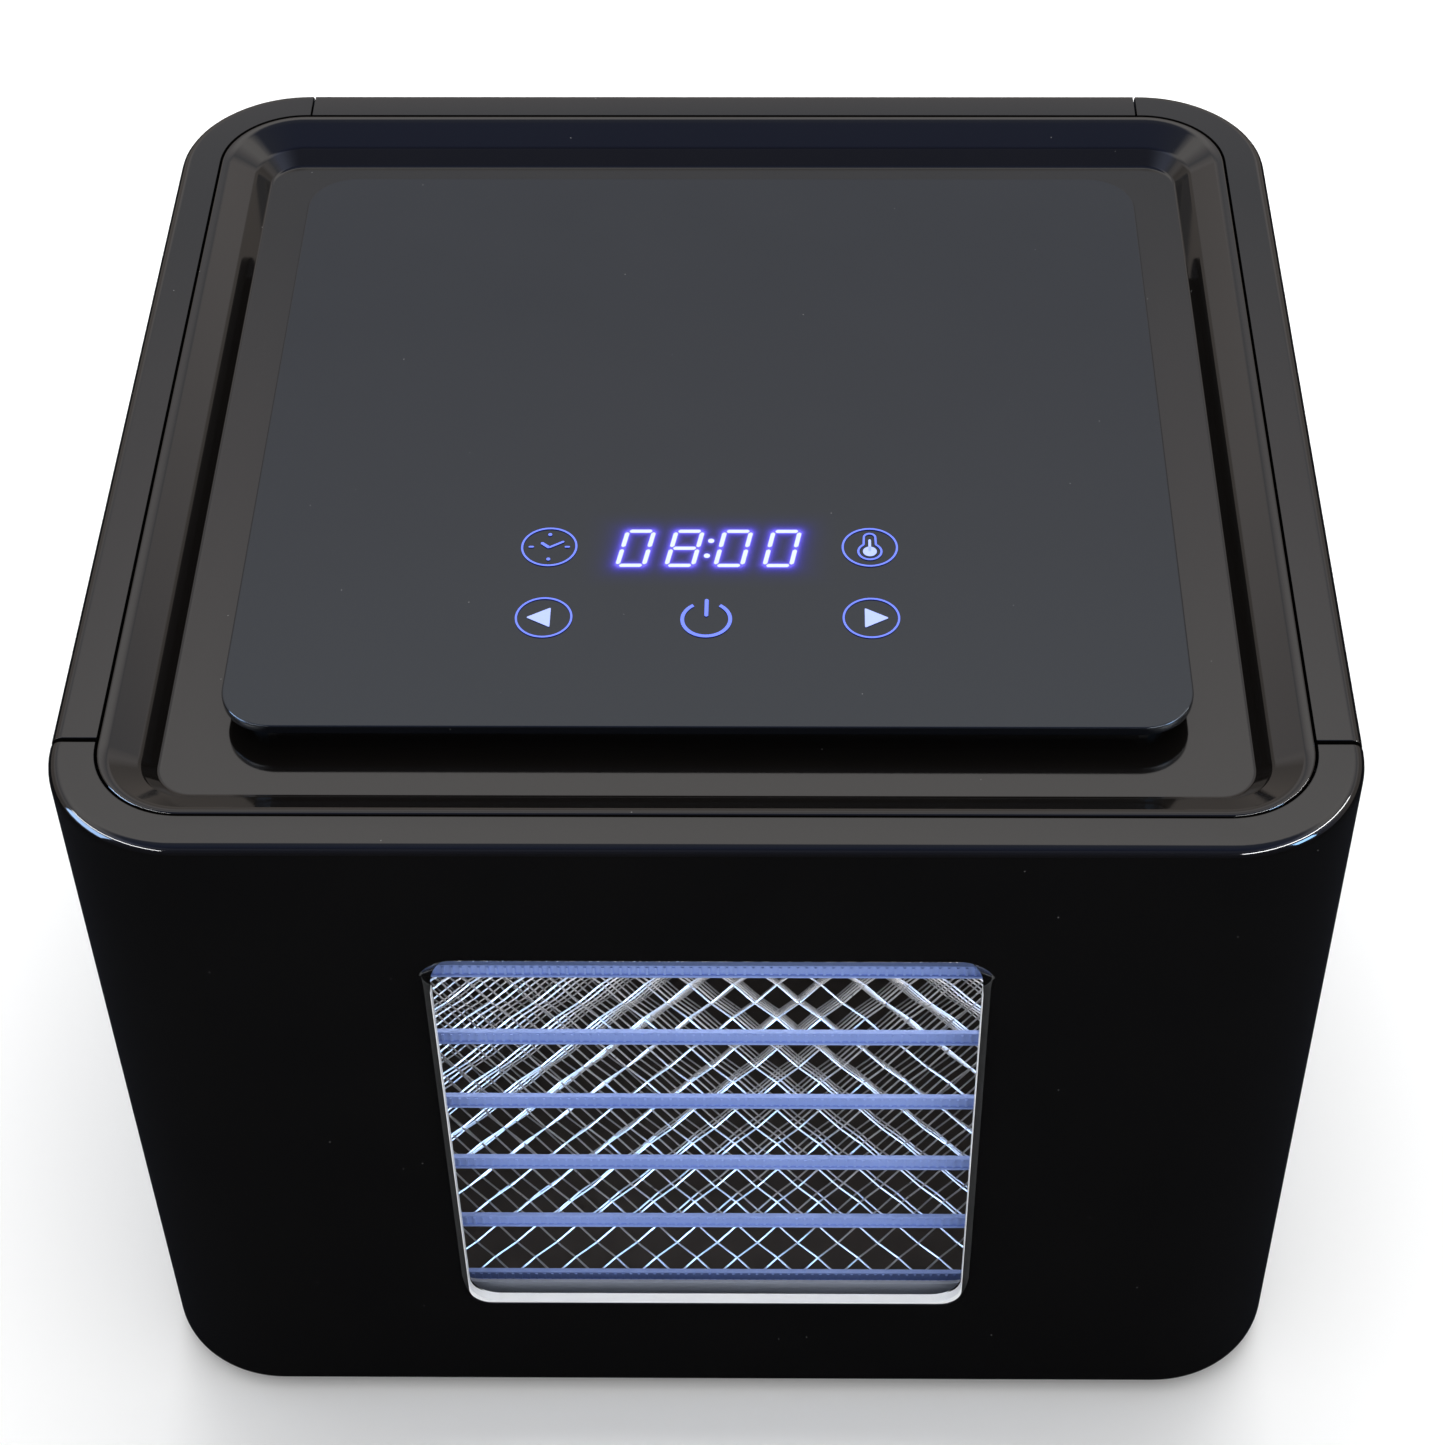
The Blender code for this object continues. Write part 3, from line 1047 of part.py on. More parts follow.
def build_door():
    hinges = hinge_levels()
    moving = [door_shell(), door_window(), door_liner(), door_gasket()]
    moving += [door_lug(end, level) for end, level, way in hinges]
    strike, magnet = catch((SHELL_Z + RIM_Z) / 2)
    moving.append(strike)
    for end, level, way in hinges:
        hinge_bracket(end, level, way)
        hinge_pin(end, level, way)
    carry("door_pivot", PIVOT, moving)


def build_casing():
    casing_cavity()
    rim_hole()
    base_hole()
    seam_chamfer("left_seam_chamfer", -1, LEFT_SEAM_CHAMFER)
    seam_chamfer("right_seam_chamfer", 1, RIGHT_SEAM_CHAMFER)
    side_shell("left_side_shell", -1)
    side_shell("right_side_shell", 1)
    back_panel()
    for label, x, z in screw_places():
        back_screw(label, x, z)
    base_pan()
    for row, y in (("front", BODY_FRONT_Y + FOOT_RADIUS * 2), ("rear", BACK_Y - FOOT_INSET)):
        foot(f"{row}_left", -HALF_W + FOOT_INSET, y)
        foot(f"{row}_right", HALF_W - FOOT_INSET, y)


def build_top():
    top_cover()
    pedestal()
    control_glass()
    control_board()
    display_module()


def build_chamber():
    front_frame()
    chamber_side("chamber_left_wall", -1)
    chamber_side("chamber_right_wall", 1)
    chamber_sheet("chamber_floor", CHAMBER_FLOOR_Z - SHEET)
    chamber_sheet("chamber_ceiling", CHAMBER_CEILING_Z)
    for index, level in enumerate(tray_levels()):
        tray(index + 1, level)
    drip_tray()


def build_air_mover():
    rear_bulkhead()
    motor_bracket()
    fan_motor()
    heater_frame()
    heater_coil()
    thermal_cutout()
    power_inlet()
    power_board()
    lead("mains_loom", mains_route(), LEAD_RADIUS, RUBBER)
    lead("panel_lead", panel_route(), LEAD_RADIUS * 0.8, RUBBER)
    carry("fan_axis", Vector((0, FAN_FRONT_Y, FAN_Z)), [fan_impeller(), fan_shaft()])


build_casing()
build_door()
build_top()
build_chamber()
build_air_mover()
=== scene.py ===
from math import atan2, cos, exp, pi, radians, sin, tan

import bmesh
import bpy
from mathutils import Matrix, Vector


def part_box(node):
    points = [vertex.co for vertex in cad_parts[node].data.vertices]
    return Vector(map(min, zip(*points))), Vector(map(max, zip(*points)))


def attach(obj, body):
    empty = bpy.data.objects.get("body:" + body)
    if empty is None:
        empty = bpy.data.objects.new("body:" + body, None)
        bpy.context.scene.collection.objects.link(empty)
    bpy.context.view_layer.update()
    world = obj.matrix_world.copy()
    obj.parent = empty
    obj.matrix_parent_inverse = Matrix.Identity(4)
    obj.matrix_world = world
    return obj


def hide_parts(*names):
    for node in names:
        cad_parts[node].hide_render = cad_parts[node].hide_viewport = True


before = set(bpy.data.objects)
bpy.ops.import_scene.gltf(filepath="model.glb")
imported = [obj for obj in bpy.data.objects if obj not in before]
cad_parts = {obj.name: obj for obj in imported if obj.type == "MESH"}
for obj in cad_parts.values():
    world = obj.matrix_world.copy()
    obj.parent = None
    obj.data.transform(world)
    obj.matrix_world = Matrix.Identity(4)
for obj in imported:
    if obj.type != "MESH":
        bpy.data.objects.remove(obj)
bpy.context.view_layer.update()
print("frame loaded:", len(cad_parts), "nodes")

def deselectAll():
    if bpy.context.object and bpy.context.object.mode != "OBJECT":
        bpy.ops.object.mode_set(mode="OBJECT")
    bpy.ops.object.select_all(action="DESELECT")


def makeActive(piece):
    deselectAll()
    piece.select_set(True)
    bpy.context.view_layer.objects.active = piece


def openMesh(piece):
    makeActive(piece)
    bpy.ops.object.mode_set(mode="EDIT")
    bpy.ops.mesh.select_all(action="DESELECT")


def closeMesh():
    bpy.ops.object.mode_set(mode="OBJECT")


def bakePlace(piece):
    makeActive(piece)
    bpy.ops.object.transform_apply(location=True, rotation=True, scale=True)


def newBox(name, low, high):
    low, high = Vector(low), Vector(high)
    deselectAll()
    bpy.ops.mesh.primitive_cube_add(size=1, location=(low + high) / 2)
    piece = bpy.context.object
    piece.name = name
    piece.scale = high - low
    bakePlace(piece)
    return piece


def newRod(name, radius, start, end, sides=32, endRadius=None):
    start, end = Vector(start), Vector(end)
    endRadius = radius if endRadius is None else endRadius
    run = end - start
    turn = Vector((0, 0, 1)).rotation_difference(run).to_euler()
    deselectAll()
    bpy.ops.mesh.primitive_cone_add(vertices=sides, radius1=radius, radius2=endRadius, depth=run.length,
                                    location=(start + end) / 2, rotation=turn)
    piece = bpy.context.object
    piece.name = name
    bakePlace(piece)
    return piece


# select the edges whose two ends pass the test, in the mesh that is open, or only the folded ones of them
def pickEdges(test, folded=0.0):
    mesh = bpy.context.edit_object.data
    bpy.ops.mesh.select_mode(type="EDGE")
    bpy.ops.mesh.select_all(action="DESELECT")
    shape = bmesh.from_edit_mesh(mesh)
    for edge in shape.edges:
        if test(edge.verts[0].co, edge.verts[1].co) and edge.calc_face_angle(pi) >= folded:
            edge.select_set(True)
    bmesh.update_edit_mesh(mesh)


# select the faces whose middle and normal pass the test, in the mesh that is open
def pickFaces(test):
    mesh = bpy.context.edit_object.data
    bpy.ops.mesh.select_mode(type="FACE")
    bpy.ops.mesh.select_all(action="DESELECT")
    shape = bmesh.from_edit_mesh(mesh)
    for face in shape.faces:
        if test(face.calc_center_median(), face.normal):
            face.select_set(True)
    bmesh.update_edit_mesh(mesh)


def near(a, b, slack=1e-5):
    return abs(a - b) < slack


# a test for edges that run along one axis
def along(axis):
    others = [i for i in range(3) if i != axis]
    return lambda a, b: all(near(a[i], b[i]) for i in others)


# a test for edges that lie in one plane
def level(axis, value):
    return lambda a, b: near(a[axis], value) and near(b[axis], value)


def bevel(width, steps, profile=0.5):
    bpy.ops.mesh.bevel(offset=width, segments=steps, profile=profile, affect="EDGES", clamp_overlap=True)


# round the edges that pass the test, or only the folded ones of them
def bevelEdges(piece, test, width, steps=2, profile=0.5, folded=0.0):
    openMesh(piece)
    pickEdges(test, folded)
    bevel(width, steps, profile)
    closeMesh()


def easeEdges(piece, test, width, steps=2):
    bevelEdges(piece, test, width, steps, folded=radians(20))


# a box with its four edges along an axis rounded, and the rims at that axis's two ends eased
def roundedBox(name, low, high, corner, steps, axis=2, edge=0.0, edgeSteps=3, lowEdge=None):
    piece = newBox(name, low, high)
    openMesh(piece)
    if corner > 0:
        pickEdges(along(axis))
        bevel(corner, steps)
    if edge > 0:
        pickEdges(level(axis, high[axis]))
        bevel(edge, edgeSteps)
    lowEdge = edge if lowEdge is None else lowEdge
    if lowEdge > 0:
        pickEdges(level(axis, low[axis]))
        bevel(lowEdge, edgeSteps)
    closeMesh()
    return piece


def combine(piece, other, operation, keepOther=False):
    step = piece.modifiers.new("combine", "BOOLEAN")
    step.object = other
    step.operation = operation
    step.solver = "EXACT"
    makeActive(piece)
    bpy.ops.object.modifier_apply(modifier=step.name)
    if not keepOther:
        bpy.data.objects.remove(other, do_unlink=True)


def cutAway(piece, *others):
    for other in others:
        combine(piece, other, "DIFFERENCE")


def weldOn(piece, *others):
    for other in others:
        combine(piece, other, "UNION")


def joined(name, pieces):
    deselectAll()
    for piece in pieces:
        piece.select_set(True)
    bpy.context.view_layer.objects.active = pieces[0]
    if len(pieces) > 1:
        bpy.ops.object.join()
    pieces[0].name = name
    return pieces[0]


def duplicate(piece, name, offset=(0, 0, 0)):
    copy = piece.copy()
    copy.data = piece.data.copy()
    copy.name = name
    copy.data.transform(Matrix.Translation(offset))
    bpy.context.scene.collection.objects.link(copy)
    return copy


def smooth(piece, angle=32, weighted=True):
    makeActive(piece)
    bpy.ops.object.shade_smooth_by_angle(angle=radians(angle))
    if weighted:
        step = piece.modifiers.new("weighted", "WEIGHTED_NORMAL")
        step.mode = "FACE_AREA"
        step.weight = 90
        step.keep_sharp = True
        bpy.ops.object.modifier_apply(modifier=step.name)


def finishPiece(piece, body, material, replaced=(), angle=32, weighted=True):
    if piece.type == "MESH" and angle:
        smooth(piece, angle, weighted)
    piece.data.materials.clear()
    piece.data.materials.append(material)
    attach(piece, body)
    if replaced:
        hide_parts(*replaced)
    return piece


def addNode(tree, kind, at=(0, 0), **values):
    node = tree.nodes.new(kind)
    node.location = at
    for key, value in values.items():
        setattr(node, key, value)
    return node


number = "NodeSocketFloat"


# a shared effect: a node group with named number inputs and outputs
def newGroup(name, inputs, outputs):
    group = bpy.data.node_groups.new(name, "ShaderNodeTree")
    for label, kind, value in inputs:
        socket = group.interface.new_socket(name=label, in_out="INPUT", socket_type=kind)
        if value is not None:
            socket.default_value = value
    for label, kind in outputs:
        group.interface.new_socket(name=label, in_out="OUTPUT", socket_type=kind)
    start = addNode(group, "NodeGroupInput", (-900, 0))
    end = addNode(group, "NodeGroupOutput", (600, 0))
    return group, start, end


# two scales of noise: a soft unevenness and a fine grain
def fineGrain():
    group, start, end = newGroup("fineGrain", [("Scale", number, 900.0), ("Soft Scale", number, 30.0)],
                                 [("Grain", number), ("Soft", number)])
    place = addNode(group, "ShaderNodeTexCoord", (-900, 300))
    for output, scale, detail, y in (("Grain", "Scale", 2.0, 150), ("Soft", "Soft Scale", 3.0, -150)):
        noise = addNode(group, "ShaderNodeTexNoise", (-400, y))
        noise.inputs["Detail"].default_value = detail
        group.links.new(place.outputs["Object"], noise.inputs["Vector"])
        group.links.new(start.outputs[scale], noise.inputs["Scale"])
        group.links.new(noise.outputs["Fac"], end.inputs[output])
    return group


# sparse bright specks of dust, as a mask
def dustSpecks():
    group, start, end = newGroup("dustSpecks", [("Scale", number, 260.0), ("Size", number, 0.05)],
                                 [("Mask", number)])
    place = addNode(group, "ShaderNodeTexCoord", (-900, 300))
    cells = addNode(group, "ShaderNodeTexVoronoi", (-600, 100))
    chance = addNode(group, "ShaderNodeTexWhiteNoise", (-350, -150))
    fewer = addNode(group, "ShaderNodeMath", (-150, -150), operation="GREATER_THAN")
    fewer.inputs[1].default_value = 0.93
    inside = addNode(group, "ShaderNodeMath", (-350, 150), operation="LESS_THAN")
    both = addNode(group, "ShaderNodeMath", (150, 0), operation="MULTIPLY")
    group.links.new(place.outputs["Object"], cells.inputs["Vector"])
    group.links.new(start.outputs["Scale"], cells.inputs["Scale"])
    group.links.new(cells.outputs["Position"], chance.inputs["Vector"])
    group.links.new(chance.outputs["Value"], fewer.inputs[0])
    group.links.new(cells.outputs["Distance"], inside.inputs[0])
    group.links.new(start.outputs["Size"], inside.inputs[1])
    group.links.new(fewer.outputs["Value"], both.inputs[0])
    group.links.new(inside.outputs["Value"], both.inputs[1])
    group.links.new(both.outputs["Value"], end.inputs["Mask"])
    return group


# noise drawn out along one axis, for rolled and brushed metal
def brushedLines():
    stretch = ("Stretch", "NodeSocketVector", (0.02, 1.0, 1.0))
    group, start, end = newGroup("brushedLines", [("Scale", number, 600.0), stretch], [("Lines", number)])
    place = addNode(group, "ShaderNodeTexCoord", (-900, 300))
    drawn = addNode(group, "ShaderNodeVectorMath", (-650, 200), operation="MULTIPLY")
    noise = addNode(group, "ShaderNodeTexNoise", (-400, 100))
    noise.inputs["Detail"].default_value = 4.0
    group.links.new(place.outputs["Object"], drawn.inputs[0])
    group.links.new(start.outputs["Stretch"], drawn.inputs[1])
    group.links.new(drawn.outputs["Vector"], noise.inputs["Vector"])
    group.links.new(start.outputs["Scale"], noise.inputs["Scale"])
    group.links.new(noise.outputs["Fac"], end.inputs["Lines"])
    return group


effects = {"grain": fineGrain(), "dust": dustSpecks(), "lines": brushedLines()}


def useEffect(tree, effect, at, **values):
    node = addNode(tree, "ShaderNodeGroup", at)
    node.node_tree = effects[effect]
    for key, value in values.items():
        node.inputs[key.replace("_", " ")].default_value = value
    return node


# map a 0 to 1 value onto a narrower range
def spread(tree, source, low, high, at):
    node = addNode(tree, "ShaderNodeMapRange", at)
    node.inputs["To Min"].default_value = low
    node.inputs["To Max"].default_value = high
    tree.links.new(source, node.inputs["Value"])
    return node.outputs["Result"]


def mixColours(tree, mask, first, second, at):
    node = addNode(tree, "ShaderNodeMix", at, data_type="RGBA")
    node.inputs["A"].default_value = (*first, 1)
    node.inputs["B"].default_value = (*second, 1)
    tree.links.new(mask, node.inputs["Factor"])
    return node


def newMaterial(name, metallic=0.0, ior=1.5, coat=0.0, coatRoughness=0.03):
    material = bpy.data.materials.new(name)
    material.use_nodes = True
    shader = material.node_tree.nodes["Principled BSDF"]
    shader.inputs["Metallic"].default_value = metallic
    shader.inputs["IOR"].default_value = ior
    shader.inputs["Coat Weight"].default_value = coat
    shader.inputs["Coat Roughness"].default_value = coatRoughness
    return material, material.node_tree, shader


def addBump(tree, shader, height, strength, distance, at=(-250, -400)):
    bump = addNode(tree, "ShaderNodeBump", at)
    bump.inputs["Strength"].default_value = strength
    bump.inputs["Distance"].default_value = distance
    tree.links.new(height, bump.inputs["Height"])
    tree.links.new(bump.outputs["Normal"], shader.inputs["Normal"])


# moulded plastic or rubber: uneven gloss, a fine grain in the surface and a little dust
def plastic(name, colour, tint, roughness, grainScale, bumpStrength, ior=1.5, dust=True, spreadOf=0.02):
    material, tree, shader = newMaterial(name, ior=ior)
    grain = useEffect(tree, "grain", (-900, 0), Scale=grainScale)
    mixed = mixColours(tree, grain.outputs["Soft"], colour, tint, (-500, 200))
    colourOut = mixed.outputs["Result"]
    if dust:
        specks = useEffect(tree, "dust", (-900, 300))
        paler = [min(1, part + 0.10) for part in colour]
        dusty = mixColours(tree, specks.outputs["Mask"], colour, paler, (-300, 300))
        tree.links.new(colourOut, dusty.inputs["A"])
        colourOut = dusty.outputs["Result"]
    tree.links.new(colourOut, shader.inputs["Base Color"])
    gloss = spread(tree, grain.outputs["Soft"], roughness - spreadOf, roughness + spreadOf, (-500, -100))
    tree.links.new(gloss, shader.inputs["Roughness"])
    addBump(tree, shader, grain.outputs["Grain"], bumpStrength, 0.0001)
    return material


# rolled or brushed metal: drawn-out lines in its gloss and its surface
def metal(name, colour, tint, roughness, stretch, bumpStrength=0.12, scale=600.0, metallic=1.0):
    material, tree, shader = newMaterial(name, metallic=metallic)
    lines = useEffect(tree, "lines", (-900, 0), Scale=scale, Stretch=stretch)
    grain = useEffect(tree, "grain", (-900, -300), Scale=700.0, Soft_Scale=18.0)
    mixed = mixColours(tree, grain.outputs["Soft"], colour, tint, (-500, 200))
    tree.links.new(mixed.outputs["Result"], shader.inputs["Base Color"])
    tree.links.new(spread(tree, lines.outputs["Lines"], roughness * 0.7, roughness * 1.4, (-500, -100)),
                   shader.inputs["Roughness"])
    addBump(tree, shader, lines.outputs["Lines"], bumpStrength, 0.0001)
    return material


# a lit mark or display segment
def light(name, colour, strength, edge=None):
    material, tree, shader = newMaterial(name)
    grain = useEffect(tree, "grain", (-900, 0), Scale=1500.0, Soft_Scale=400.0)
    mixed = mixColours(tree, grain.outputs["Soft"], colour, edge or colour, (-500, 0))
    tree.links.new(mixed.outputs["Result"], shader.inputs["Emission Color"])
    shader.inputs["Base Color"].default_value = (*[c * 0.3 for c in colour], 1)
    shader.inputs["Emission Strength"].default_value = strength
    shader.inputs["Roughness"].default_value = 0.4
    return material


# clear glass that mirrors a little at grazing angles and lets light straight through
def clearPane():
    material = bpy.data.materials.new("clearPane")
    material.use_nodes = True
    tree = material.node_tree
    shader = tree.nodes["Principled BSDF"]
    shader.inputs["Roughness"].default_value = 0.02
    shader.inputs["Base Color"].default_value = (0.02, 0.025, 0.03, 1)
    clear = addNode(tree, "ShaderNodeBsdfTransparent", (0, 200))
    clear.inputs["Color"].default_value = (0.97, 0.98, 1.0, 1)
    facing = addNode(tree, "ShaderNodeFresnel", (-500, 250))
    facing.inputs["IOR"].default_value = 1.25
    grain = useEffect(tree, "grain", (-900, 0), Scale=500.0, Soft_Scale=60.0)
    tree.links.new(spread(tree, grain.outputs["Soft"], 0.015, 0.03, (-500, -100)), shader.inputs["Roughness"])
    surface = addNode(tree, "ShaderNodeNewGeometry", (-500, 450))
    front = addNode(tree, "ShaderNodeMath", (-250, 450), operation="SUBTRACT")
    front.inputs[0].default_value = 1.0
    tree.links.new(surface.outputs["Backfacing"], front.inputs[1])
    share = addNode(tree, "ShaderNodeMath", (0, 350), operation="MULTIPLY")
    tree.links.new(facing.outputs["Fac"], share.inputs[0])
    tree.links.new(front.outputs["Value"], share.inputs[1])
    mix = addNode(tree, "ShaderNodeMixShader", (300, 100))
    tree.links.new(share.outputs["Value"], mix.inputs["Fac"])
    tree.links.new(clear.outputs["BSDF"], mix.inputs[1])
    tree.links.new(shader.outputs["BSDF"], mix.inputs[2])
    tree.links.new(mix.outputs["Shader"], tree.nodes["Material Output"].inputs["Surface"])
    return material


glossBlack = plastic("glossBlack", (0.0030, 0.0029, 0.0030), (0.0042, 0.0040, 0.0040), 0.07, 1400.0, 0.010)
dishBlack = plastic("dishBlack", (0.0034, 0.0030, 0.0028), (0.0046, 0.0040, 0.0037), 0.07, 1400.0, 0.010)
panelGlass = plastic("panelGlass", (0.0040, 0.0045, 0.0060), (0.0052, 0.0057, 0.0075), 0.16, 2600.0, 0.030)
panelShader = panelGlass.node_tree.nodes["Principled BSDF"]
panelShader.inputs["Specular IOR Level"].default_value = 0.46
panelShader.inputs["Specular Tint"].default_value = (0.78, 0.88, 1.0, 1)
satinBlack = plastic("satinBlack", (0.012, 0.012, 0.013), (0.018, 0.018, 0.019), 0.42, 1800.0, 0.20)
clearGlass = clearPane()
steel = metal("steel", (0.62, 0.64, 0.68), (0.55, 0.57, 0.60), 0.24, (0.03, 1.0, 1.0))
wireSteel = metal("wireSteel", (0.70, 0.70, 0.72), (0.56, 0.56, 0.58), 0.30, (1.0, 1.0, 1.0),
                  bumpStrength=0.05, scale=300.0, metallic=0.55)
rimSteel = metal("rimSteel", (0.20, 0.30, 0.66), (0.36, 0.47, 0.84), 0.50, (1.0, 1.0, 0.06),
                 bumpStrength=0.60, scale=1400.0, metallic=0.10)
linerSteel = metal("linerSteel", (0.34, 0.36, 0.41), (0.48, 0.50, 0.56), 0.50, (1.0, 1.0, 1.0),
                   bumpStrength=0.50, scale=1400.0, metallic=0.10)
chamberSteel = metal("chamberSteel", (0.030, 0.023, 0.017), (0.020, 0.016, 0.012), 0.46, (1.0, 0.03, 1.0),
                     metallic=0.5)
panSteel = metal("panSteel", (0.10, 0.085, 0.075), (0.075, 0.063, 0.055), 0.40, (0.03, 1.0, 1.0),
                 metallic=0.6)
darkSteel = metal("darkSteel", (0.08, 0.08, 0.085), (0.06, 0.06, 0.065), 0.38, (0.05, 1.0, 1.0))
nichrome = metal("nichrome", (0.30, 0.27, 0.25), (0.20, 0.18, 0.19), 0.45, (1.0, 1.0, 1.0))
rubber = plastic("rubber", (0.018, 0.018, 0.018), (0.028, 0.028, 0.027), 0.80, 1600.0, 0.35)
silicone = plastic("silicone", (0.16, 0.16, 0.17), (0.20, 0.20, 0.21), 0.60, 1500.0, 0.15)
boardGreen = plastic("boardGreen", (0.012, 0.10, 0.035), (0.02, 0.14, 0.05), 0.40, 900.0, 0.25)
mica = plastic("mica", (0.36, 0.28, 0.18), (0.50, 0.42, 0.30), 0.50, 500.0, 0.30)
whitePlastic = plastic("whitePlastic", (0.60, 0.60, 0.58), (0.70, 0.70, 0.68), 0.40, 1500.0, 0.10)
whiteTrim = plastic("whiteTrim", (0.80, 0.82, 0.85), (0.88, 0.90, 0.92), 0.35, 1500.0, 0.10, dust=False)
ledWhite = light("ledWhite", (0.60, 0.67, 1.0), 1.0, (0.48, 0.54, 1.0))
markBlue = light("markBlue", (0.13, 0.20, 0.95), 1.0, (0.11, 0.16, 0.90))
markPale = light("markPale", (0.38, 0.47, 1.0), 1.0, (0.34, 0.42, 1.0))
print("materials made:", len(bpy.data.materials))

casing = {"cornerRadius": 0.035, "cornerSteps": 22, "topEdge": 0.0030, "topSteps": 6, "bottomEdge": 0.0015,
          "wall": 0.0025, "skin": 0.00125, "rimWidth": 0.0115, "baseFlange": 0.014, "ease": 0.0003,
          "overrun": 0.003, "gap": 0.0003, "seam": 0.0006}
shells = ("door_shell", "left_side_shell", "right_side_shell", "back_panel")
boxes = {node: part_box(node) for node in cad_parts}
casingLow = Vector([min(boxes[node][0][i] for node in shells) for i in range(3)])
casingHigh = Vector([max(boxes[node][1][i] for node in shells) for i in range(3)])
doorBack = boxes["door_shell"][1].y
bodyFront = boxes["left_side_shell"][0].y
rearSeam = boxes["back_panel"][1].x
sideSeam = rearSeam + casing["seam"]


def casingForm(name):
    return roundedBox(name, casingLow, casingHigh, casing["cornerRadius"], casing["cornerSteps"],
                      edge=casing["topEdge"], edgeSteps=casing["topSteps"], lowEdge=casing["bottomEdge"])


def inset(low, high, x, y, lowZ, highZ):
    return (low.x + x, low.y + y, low.z + lowZ), (high.x - x, high.y - y, high.z - highZ)


def casingCavity():
    wall = casing["wall"]
    low, high = inset(casingLow, casingHigh, wall, wall, wall, wall)
    return roundedBox("cavity", low, high, casing["cornerRadius"] - wall, casing["cornerSteps"])


def rimHole():
    width = casing["rimWidth"]
    low, high = inset(casingLow, casingHigh, width, width, 0.1, -casing["overrun"])
    return roundedBox("rimHole", low, high, casing["cornerRadius"] - width, casing["cornerSteps"])


def baseHole():
    flange = casing["baseFlange"]
    over = casing["overrun"]
    return newBox("baseHole", (casingLow.x + flange, doorBack - flange, casingLow.z - over),
                  (casingHigh.x - flange, casingHigh.y - flange, casingLow.z + casing["wall"] + over))


# the casing's form a little under its skin, to trim what joins the inside of the wall
def trimForm():
    skin = casing["skin"]
    low, high = inset(casingLow, casingHigh, skin, skin, 0, 0)
    return roundedBox("trimForm", low, high, casing["cornerRadius"] - skin, casing["cornerSteps"])


window = {"width": 0.146, "height": 0.151, "aboveBottom": 0.0395, "corner": 0.0065, "sideReveal": 0.004,
          "endReveal": 0.0004, "steps": 10, "ease": 0.0003, "border": 0.004}
windowMiddle = Vector((0, casingLow.y, casingLow.z + window["aboveBottom"] + window["height"] / 2))


# the opening narrows by the reveals as it goes through the wall
def windowCutter():
    wall, over = casing["wall"], casing["overrun"]
    share = over / wall
    growX, growZ = window["sideReveal"] * share, window["endReveal"] * share
    halfW, halfH = window["width"] / 2 + growX, window["height"] / 2 + growZ
    cutter = roundedBox("windowCutter", (-halfW, casingLow.y - over, windowMiddle.z - halfH),
                        (halfW, casingLow.y + wall + over, windowMiddle.z + halfH), window["corner"] + growX,
                        window["steps"], axis=1)
    through = 1 + 2 * share
    openMesh(cutter)
    pickFaces(lambda middle, normal: normal.y > 0.9)
    bpy.ops.transform.resize(value=(1 - window["sideReveal"] * through / halfW, 1,
                                    1 - window["endReveal"] * through / halfH),
                             center_override=(0, casingLow.y, windowMiddle.z))
    closeMesh()
    return cutter


fittings = {"hingeBoss": 0.012, "lugClear": 0.009, "catchBoss": 0.010, "margin": 0.002, "ease": 0.001,
            "ribWidth": 0.003, "ribCorner": 0.006, "notch": 0.0058, "notchOver": 0.002}


def doorShell():
    shell = casingForm("doorShell")
    cutAway(shell, casingCavity(), rimHole())
    combine(shell, newBox("doorRegion", (-1, -1, -0.1), (1, doorBack, 1)), "INTERSECT")
    cutAway(shell, windowCutter())
    easeEdges(shell, level(1, doorBack), casing["ease"])
    front = casingLow.y
    reach = window["height"] / 2 + window["border"]
    easeEdges(shell, lambda a, b: level(1, front)(a, b) and abs(a.x) < reach and abs(b.x) < reach
              and abs(a.z - windowMiddle.z) < reach, window["ease"], 3)
    innerX, innerY = casingHigh.x - casing["rimWidth"], casingHigh.y - casing["rimWidth"]
    easeEdges(shell, lambda a, b: level(2, casingHigh.z)(a, b) and max(abs(a.x) - innerX, abs(a.y) - innerY,
              abs(b.x) - innerX, abs(b.y) - innerY) < 1e-4, casing["ease"])
    weldOn(shell, *doorFittings())
    cutAway(shell, *hingeNotches())
    return finishPiece(shell, "door", glossBlack, ["door_shell"])


# bosses behind the hinge lugs and the strike plate, and the rib that the gasket sits on
def doorFittings():
    gap, made = casing["gap"], []
    for node, way in (("hinge_lower_door_lug", 1), ("hinge_upper_door_lug", -1)):
        low, high = boxes[node]
        face = high.z if way > 0 else low.z
        ends = sorted((face + way * gap, face + way * fittings["hingeBoss"]))
        made.append(roundedBox("hingeBoss", (casingLow.x, low.y, ends[0]),
                               (high.x, high.y - fittings["lugClear"], ends[1]), fittings["ease"], 2, axis=1))
    low, high = boxes["door_strike_plate"]
    margin = fittings["margin"]
    made.append(roundedBox("catchBoss", (low.x - margin, low.y - fittings["catchBoss"], low.z - margin),
                           (casingHigh.x, low.y - gap, high.z + margin), fittings["ease"], 2, axis=1))
    low, high = boxes["door_gasket"]
    rib = roundedBox("rib", (low.x, casingLow.y, low.z), (high.x, low.y - gap, high.z), fittings["ribCorner"],
                     6, axis=1)
    wide = fittings["ribWidth"]
    innerCorner = fittings["ribCorner"] - wide / 2
    cutAway(rib, roundedBox("hole", (low.x + wide, casingLow.y - casing["overrun"], low.z + wide),
                            (high.x - wide, high.y, high.z - wide), innerCorner, 6, axis=1))
    made.append(rib)
    for piece in made:
        combine(piece, trimForm(), "INTERSECT")
    return made


